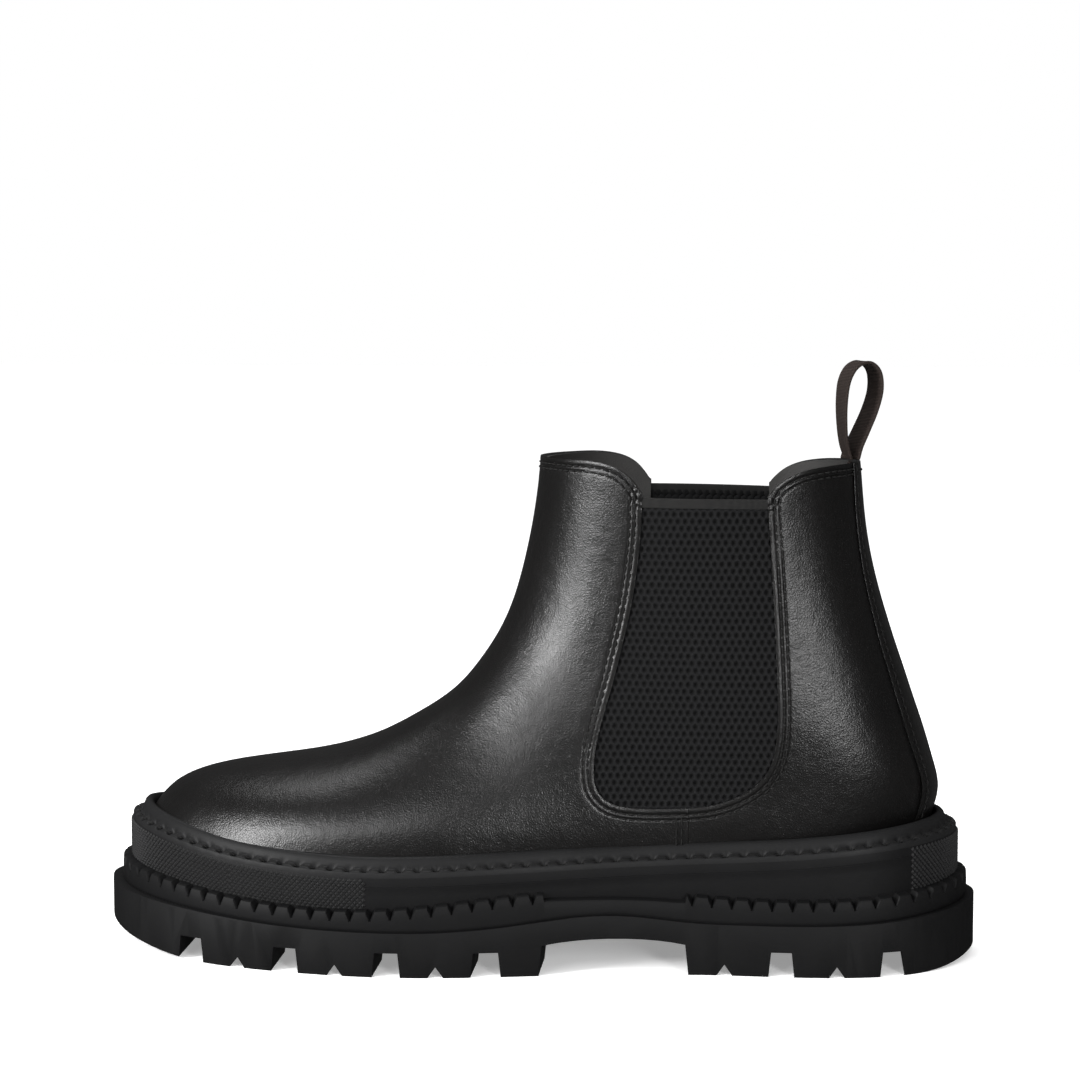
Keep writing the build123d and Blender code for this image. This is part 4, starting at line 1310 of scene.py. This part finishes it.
# %% [markdown]
# ## Pull loop
#
# The loop is a ribbon of woven tape, folded double and sewn in at the back, and it stands up
# with a slight twist. A curve with a flat bevel could draw it, but would turn as it liked at
# the top. A narrow strip carried along the loop's line can be twisted by a known angle at
# each step. The edges are raised a tenth of a millimetre, for the selvedge, and Solidify
# gives it the tape's thickness.

# %% Pull loop
LOOP_BASE = (109.2, 176.0)
LOOP_MIDDLE = [
    (0.0, -0.9), (-1.0, 1.6), (-1.9, 5.0), (-2.6, 11.0), (-2.8, 19.0), (-1.9, 26.5), (0.9, 31.4),
    (5.4, 33.0), (9.2, 29.9), (10.1, 23.5), (8.2, 16.3), (4.7, 8.9), (1.9, 3.6), (0.3, -0.9),
]
middle = smooth_path(LOOP_MIDDLE, 90) * MM
run = np.gradient(middle, axis=0)
run /= np.linalg.norm(run, axis=1, keepdims=True)
facing = np.column_stack([-run[:, 1], run[:, 0]])
EDGE_RISE = 0.12  # millimetres
HALF_WIDE = 5.3 * MM
tape_across = [(-1, 0), (-0.93, EDGE_RISE), (-0.84, EDGE_RISE), (-0.76, 0), (-0.4, 0), (0, 0)]
tape_across += [(-wide, raised) for wide, raised in tape_across[-2::-1]]
tape_rows = []
for share, (x, z), (nx, nz) in zip(np.linspace(0, 1, len(middle)), middle, facing):
    turn = math.radians(12 + 24 * share)  # the front strand is nearly edge on
    row = []
    for wide, raised in tape_across:
        u, w = x + nx * raised * MM, wide * HALF_WIDE
        row.append((
            LOOP_BASE[0] * MM + u * math.cos(turn) - w * math.sin(turn),
            u * math.sin(turn) + w * math.cos(turn),
            LOOP_BASE[1] * MM + z + nz * raised * MM,
        ))  # fmt: skip
    tape_rows.append(row)
print("tape in the loop", round(lengths(middle)[-1], 4))
loop_tape = laid_grid("pull_loop_tape", tape_rows)
apply(loop_tape, "SOLIDIFY", thickness=1.05 * MM, offset=0.0)
apply(loop_tape, "BEVEL", width=0.0003, **RIM)
finish(loop_tape, webbing, "webbing", body="pull_loop", replaces=["pull_loop"], smooth=50)

# %% [markdown]
# ## Inside the boot
#
# The footbed is a leather-covered insole, and its edge shows inside the collar. It needs no
# more than what the outsole got: a merged copy of its node and a rounded edge.

# %% Footbed
source = nodes["sock_liner"].data
footbed = bpy.data.objects.new("footbed", source.copy())
bpy.context.scene.collection.objects.link(footbed)
in_edit_mode(
    footbed,
    (bpy.ops.mesh.remove_doubles, {"threshold": 0.00002}),
    (bpy.ops.mesh.dissolve_limited, {"angle_limit": math.radians(1.0)}),
)
apply(footbed, "BEVEL", width=0.0010, segments=3, limit_method="ANGLE", angle_limit=math.radians(35))
finish(footbed, lining_leather, "footbed", replaces=["sock_liner"], smooth=40)

# %% [markdown]
# Under the footbed lie the insole board, the cork that fills the hollow inside the welt, and
# the steel shank that stiffens the waist. The toe and the heel have stiffeners between leather
# and lining. None of them can be seen in the whole boot, so they keep their CAD meshes, and
# each gets the material that it is made of for when the boot is taken apart.

# %% Hidden layers
steel, tree, shader = new_material("spring_steel")
shader.inputs["Metallic"].default_value = 1.0
tree.links.new(ramp(tree, noise(tree, coords(tree), 400.0), 0.42, 0.55), shader.inputs["Base Color"])
shader.inputs["Roughness"].default_value = 0.35
fibre = leather("fibre_board", (0.30, 0.21, 0.13), (0.42, 0.31, 0.21), 0.8, 0.9)
hidden = {
    "cork_filler": cork,
    "steel_shank": steel,
    "insole_board": fibre,
    "toe_puff": fibre,
    "heel_counter": fibre,
    "pull_loop_tail": webbing,
}
for name, material in hidden.items():
    nodes[name].data.materials.clear()
    nodes[name].data.materials.append(material)
    print("material on", name)

# %% [markdown]
# ## Floor and light
#
# Black leather shows only what it reflects. In a white tent it would turn grey, so the floor
# and the even light from above are hidden from glossy rays, and the sky is dim for all rays
# but the camera's. The floor glows a little, which lets it run into the white sky without a
# horizon. Four soft lights draw the highlights: one high over the inner side for the toe's
# top, a tall one beyond the toe for the streak down the shaft, a long narrow one for the band
# along the vamp, and one beyond the heel for the patch on the back panel.

# %% Floor and light
bpy.context.scene.view_settings.view_transform = "Standard"
bpy.ops.mesh.primitive_plane_add(size=12)
floor = bpy.context.object
floor.name = "floor"
paper, tree, shader = new_material("paper")
tree.links.new(ramp(tree, noise(tree, coords(tree), 3.0), 0.93, 0.95), shader.inputs["Base Color"])
shader.inputs["Roughness"].default_value = 0.9
shader.inputs["Emission Color"].default_value = (1, 1, 1, 1)
shader.inputs["Emission Strength"].default_value = 0.3
floor.data.materials.append(paper)
floor.visible_glossy = False


# %% Soft lights
def softbox(name, place, target, size, watts):
    """A rectangular light that faces its target."""
    aim_at = (Vector(target) - Vector(place)).to_track_quat("-Z", "Y").to_euler()
    bpy.ops.object.light_add(type="AREA", location=place, rotation=aim_at)
    light = bpy.context.object
    light.name = name
    light.data.shape = "RECTANGLE"
    light.data.size, light.data.size_y = size
    light.data.energy = watts


softbox("top_light", (-0.25, 0.35, 1.3), (-0.05, 0, 0.1), (0.9, 0.5), 9)
softbox("toe_light", (-1.38, -0.98, 0.6), (-0.03, 0, 0.1), (0.3, 0.9), 44)
softbox("vamp_light", (-0.72, -1.25, 0.72), (-0.06, 0, 0.08), (0.8, 0.16), 9)
softbox("side_light", (0.75, -1.5, 0.45), (0.05, 0, 0.1), (0.3, 0.5), 17)
bpy.ops.object.light_add(type="SUN", location=(0, 0, 2), rotation=(math.radians(8), 0, 0))
sun = bpy.context.object
sun.name = "overcast"
sun.data.energy = 2.35
sun.data.angle = math.radians(120)
sun.visible_glossy = False
print("lights", len(bpy.data.lights))

# %% Sky
world = bpy.data.worlds.new("studio")
bpy.context.scene.world = world
world.use_nodes = True
tree = world.node_tree
sky = tree.nodes["Background"]
sky.inputs["Color"].default_value = (1, 1, 1, 1)
path = tree.nodes.new("ShaderNodeLightPath")
level = add(tree, "ShaderNodeMapRange")
level.inputs["To Min"].default_value = 0.06
level.inputs["To Max"].default_value = 1.0
tree.links.new(path.outputs["Is Camera Ray"], level.inputs["Value"])
tree.links.new(level.outputs["Result"], sky.inputs["Strength"])
print("sky ready")
